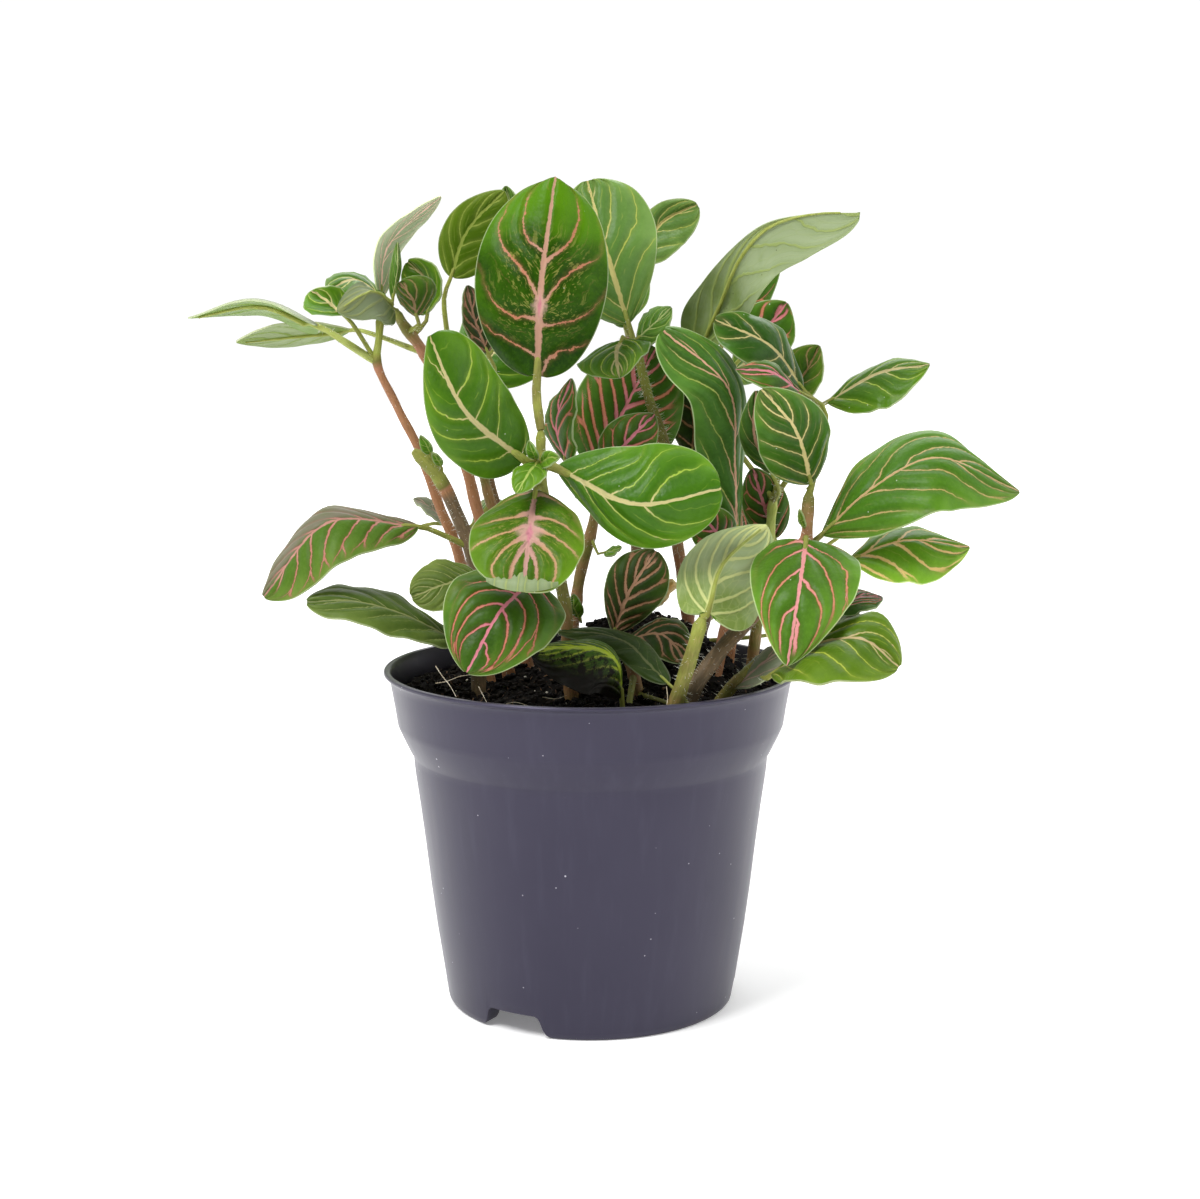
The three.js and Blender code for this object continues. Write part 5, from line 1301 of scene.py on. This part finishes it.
# thin white roots that show on the soil, by the places they pass in the picture
rootLook = dict(steps=14, sides=6, thick=(0.26, 0.14), above=0.2)
roots = (
    [(-45, 0, -30), (-43, -3, -31), (-41, -5.5, -33), (-39, -9, -36)],
    [(-32.5, -6, -36), (-31.5, -8, -38), (-30, -11, -41), (-29.5, -12.5, -42)],
    [(-45, -5, -32), (-42, -4.5, -31), (-38, -3, -29), (-35, -2.5, -28)],
    [(-26, -11.5, -42), (-22, -10.5, -41), (-17, -12, -43)],
    [(22, -6, -44), (22.3, -9, -47), (22, -12, -50)],
    [(-14, -9, -38), (-10, -9.5, -39), (-7, -8.5, -38)],
)


def rootRod(route, number):
    steps = rootLook["steps"]
    places = placeOn(curveThrough([seen(spot) for spot in route]), np.linspace(0, 1, steps))
    lowest = peatHeight(places[:, 0], places[:, 1]) + rootLook["above"]
    places[:, 2] = np.maximum(places[:, 2], lowest)
    radii = np.linspace(*rootLook["thick"], steps) / 2
    return rod("root", places, radii, rootLook["sides"], np.ones(steps), number, "root")


husk = dict(start=(16, 16.5, -2), end=(24.5, 24.5, -2), breadth=1.8, lanes=10, rows=6, thickness=0.3)


def huskSheet():
    # a dried flake that lies on the mound
    item = copyOf(sheetGrid(husk["lanes"], husk["rows"]), "husk")
    flat = cornersOf(item.data)
    u, v = flat[:, 0], flat[:, 1]
    start, end = seen(husk["start"]), seen(husk["end"])
    along = (end - start) / 2
    over = unit(np.cross(along, [0.2, -1, 0.1])) * husk["breadth"]
    ragged = 1 - 0.35 * u ** 2 + 0.18 * np.sin(5 * u + 2 * v) + 0.12 * np.sin(11 * u)
    curl = 1.2 * np.cos(2.2 * v) + 0.5 * np.sin(4 * u)
    spots = (start + end) / 2 + along * u[:, None] + over * (v * ragged)[:, None]
    putCorners(item.data, spots + np.array([0, -1.0, 0.2]) * curl[:, None])
    dress(item, "husk")
    thicken(item, husk["thickness"])
    return item


soilParts = [soilBed(), huskSheet()] + [looseBits(kind) for kind in crumbs]
soilParts += [rootRod(route, k) for k, route in enumerate(roots)]
settle(joined("pottingSoil", soilParts), "soil", 28)
print("soil made")


# Pot. The places are radius and height: outside runs up the wall and lip over the rim, and the
# inside follows it back down, a wall's thickness in.

potShape = dict(
    sides=144, wall=1.2, insideFrom=4, sunk=0.3, bevel=0.4, seam=0.01,
    inner=dict(above=8, outward=0.2, down=-0.5),
    outside=[(41.4, 0.2), (41.9, 0.9), (42.2, 2.2), (43.4, 10.5), (45.3, 22.8), (46.9, 35),
             (48.3, 47.2), (49.8, 59.2), (50.7, 65.6), (51.1, 68.6), (51.35, 71.4), (51.5, 73.0),
             (51.75, 73.6), (52.3, 74.5), (54.2, 78.4), (55.5, 81.3), (55.95, 82.5), (56.05, 83.2),
             (56.4, 85.6), (56.8, 88.2), (57.3, 91), (57.8, 94)],
    lip=[(58.2, 95.6), (58.7, 96.3), (59.4, 96.8), (59.75, 97.1), (59.8, 97.5), (59.6, 97.85), (59.0, 98),
         (58.2, 97.85), (57.7, 97.3), (57.3, 96.2)],
    foot=[(0.0, 6), (36, 6), (36.2, 5.6), (36.4, 1.4), (37.2, 0.4), (38.6, 0.0)],
    floor=[(41.6, 7.9), (41, 7.35), (40.2, 7.2), (0.0, 7.2)],
    notch=dict(count=3, first=-121, width=24, height=6.4, depth=10, radius=42.2, beyond=1.5),
    drain=dict(count=4, radius=3.4, ring=27, depth=8, middle=6.6, sides=32),
)


def spunPot():
    # the profile is drawn corner by corner in edit mode, and spun round the axis
    outside = potShape["outside"]
    inside = [(r - potShape["wall"], z - potShape["sunk"]) for r, z in outside[potShape["insideFrom"]:]]
    profile = potShape["foot"] + outside + potShape["lip"] + inside[::-1] + potShape["floor"]
    item = started(bpy.ops.mesh.primitive_plane_add, size=1)
    selectInEdit("VERT", "SELECT")
    bpy.ops.mesh.merge(type="CENTER")
    bpy.ops.transform.translate(value=(profile[0][0] * mm, 0, profile[0][1] * mm))
    for (r0, z0), (r1, z1) in zip(profile, profile[1:]):
        step = ((r1 - r0) * mm, 0, (z1 - z0) * mm)
        bpy.ops.mesh.extrude_region_move(TRANSFORM_OT_translate={"value": step})
    bpy.ops.mesh.select_all(action="SELECT")
    bpy.ops.mesh.spin(steps=potShape["sides"], angle=2 * math.pi, center=(0, 0, 0), axis=(0, 0, 1))
    bpy.ops.mesh.select_all(action="SELECT")
    bpy.ops.mesh.remove_doubles(threshold=potShape["seam"] * mm)
    bpy.ops.mesh.normals_make_consistent(inside=False)
    editMode(False)
    return item


def notchCutter(bearing):
    # a block through the foot, its upper corners rounded and its lower ones flared
    cut = potShape["notch"]
    half, height = math.radians(cut["width"] / 2) * cut["radius"], cut["height"]
    right = [(half + 4.5, -0.6), (half + 2.6, 0.1), (half + 1.3, 1.0), (half + 0.5, 2.4),
             (half - 0.2, height - 1.6), (half - 0.7, height - 0.6), (half - 1.7, height)]
    ring = right + [(-x, z) for x, z in right[::-1]]
    item = started(bpy.ops.mesh.primitive_circle_add, vertices=len(ring), radius=1, fill_type="NGON")
    near = cut["radius"] + cut["beyond"] - cut["depth"]
    putCorners(item.data, [(x, near, z) for x, z in ring])
    editMode(True)
    bpy.ops.mesh.select_all(action="SELECT")
    bpy.ops.mesh.extrude_region_move(TRANSFORM_OT_translate={"value": (0, cut["depth"] * mm, 0)})
    faceOutward()
    bpy.ops.transform.rotate(value=-math.radians(bearing - 90), orient_axis="Z", center_override=(0, 0, 0))
    editMode(False)
    return item


def drainCutter(x, y):
    drain = potShape["drain"]
    place = (x * mm, y * mm, drain["middle"] * mm)
    item = started(bpy.ops.mesh.primitive_cylinder_add, vertices=drain["sides"],
                   radius=drain["radius"] * mm, depth=drain["depth"] * mm, location=place)
    bpy.ops.object.transform_apply(location=True)
    return item


def pot():
    item = spunPot()
    cut, drain, inner = potShape["notch"], potShape["drain"], potShape["inner"]
    cutters = [notchCutter(cut["first"] + 360 * k / cut["count"]) for k in range(cut["count"])]
    for k in range(drain["count"]):
        bearing = 2 * math.pi * k / drain["count"]
        cutters.append(drainCutter(drain["ring"] * math.cos(bearing), drain["ring"] * math.sin(bearing)))
    cutters.append(drainCutter(0, 0))
    for cutter in cutters:
        addModifier(item, "hole", "BOOLEAN", operation="DIFFERENCE", solver="EXACT", object=cutter)
    applyAll(item)
    for cutter in cutters:
        bpy.data.objects.remove(cutter)
    addModifier(item, "edges", "BEVEL", width=potShape["bevel"] * mm, segments=3, limit_method="ANGLE",
                angle_limit=math.radians(50))
    applyAll(item)
    dress(item, "pot", "potInsideShade")
    # the faces above the floor that look inward or up are the inside, which gets the darker plastic:
    # painted shade
    for face in item.data.polygons:
        x, y, z = face.center / mm
        outward = (face.normal.x * x + face.normal.y * y) / max(math.hypot(x, y), 1)
        if z > inner["above"] and outward < inner["outward"] and face.normal.z > inner["down"]:
            face.material_index = 1
    return item


settle(named(pot(), "nurseryPot"), "pot", 35)
print("pot made")

for base in list(baseShapes.values()) + [hairBase, crumbBase]:
    bpy.data.objects.remove(base)


# Floor and light, in metres and watts

studio = dict(floor=3.0, front=0.2, back=1.05, turn=(-0.7, 0.3), glow=(0.18, 0.75), glowFrom=(0.3, 1.7),
              aim=(0, 0, 0.13))
lamps = (
    dict(name="key", place=(-0.6, -0.6, 1.3), size=0.6, power=19),
    dict(name="fill", place=(1.1, -0.5, 0.7), size=0.9, power=5),
    dict(name="back", place=(0.2, 1.1, 1.2), size=1.2, power=8),
)

# the floor shines a little, and more far from the plant, so that it meets the room unseen
floor = started(bpy.ops.mesh.primitive_grid_add, x_subdivisions=4, y_subdivisions=4,
                size=2 * studio["floor"])
floor.name = "floor"
skins["floor"] = plainSkin("paleFloor", "fbfbfb", "ffffff", 3.0, 0.9, 0.01)
shader = pen["tree"].nodes["Principled BSDF"]
shader.inputs["Emission Color"].default_value = (1, 1, 1, 1)
distance = put("VectorMath", {0: objectPlace()}, operation="LENGTH").outputs["Value"]
near, far = studio["glow"]
glow = scaled(fade(distance, *studio["glowFrom"]), far - near, near)
pen["tree"].links.new(glow, shader.inputs["Emission Strength"])
dress(floor, "floor")

# the room is plain white to look at, and lights the plant less from the viewer's side
world = bpy.data.worlds.new("paleRoom")
world.use_nodes = True
pen["tree"] = world.node_tree
direction = partsOf(put("TexCoord", {}).outputs["Generated"])[1]
low, high = studio["turn"]
dim = put("MapRange", {"Value": direction, "From Min": low, "From Max": high,
                       "To Min": studio["front"], "To Max": studio["back"]}).outputs["Result"]
background = world.node_tree.nodes["Background"]
background.inputs["Color"].default_value = (1, 1, 1, 1)
strength = calc("MAXIMUM", put("LightPath", {}).outputs["Is Camera Ray"], dim)
world.node_tree.links.new(strength, background.inputs["Strength"])
scene.world = world
for lamp in lamps:
    light = bpy.data.lights.new(lamp["name"], "AREA")
    light.energy = lamp["power"]
    light.size = lamp["size"]
    lightObject = bpy.data.objects.new(lamp["name"], light)
    lightObject.location = lamp["place"]
    toPlant = Vector(studio["aim"]) - lightObject.location
    lightObject.rotation_euler = toPlant.to_track_quat("-Z", "Y").to_euler()
    scene.collection.objects.link(lightObject)
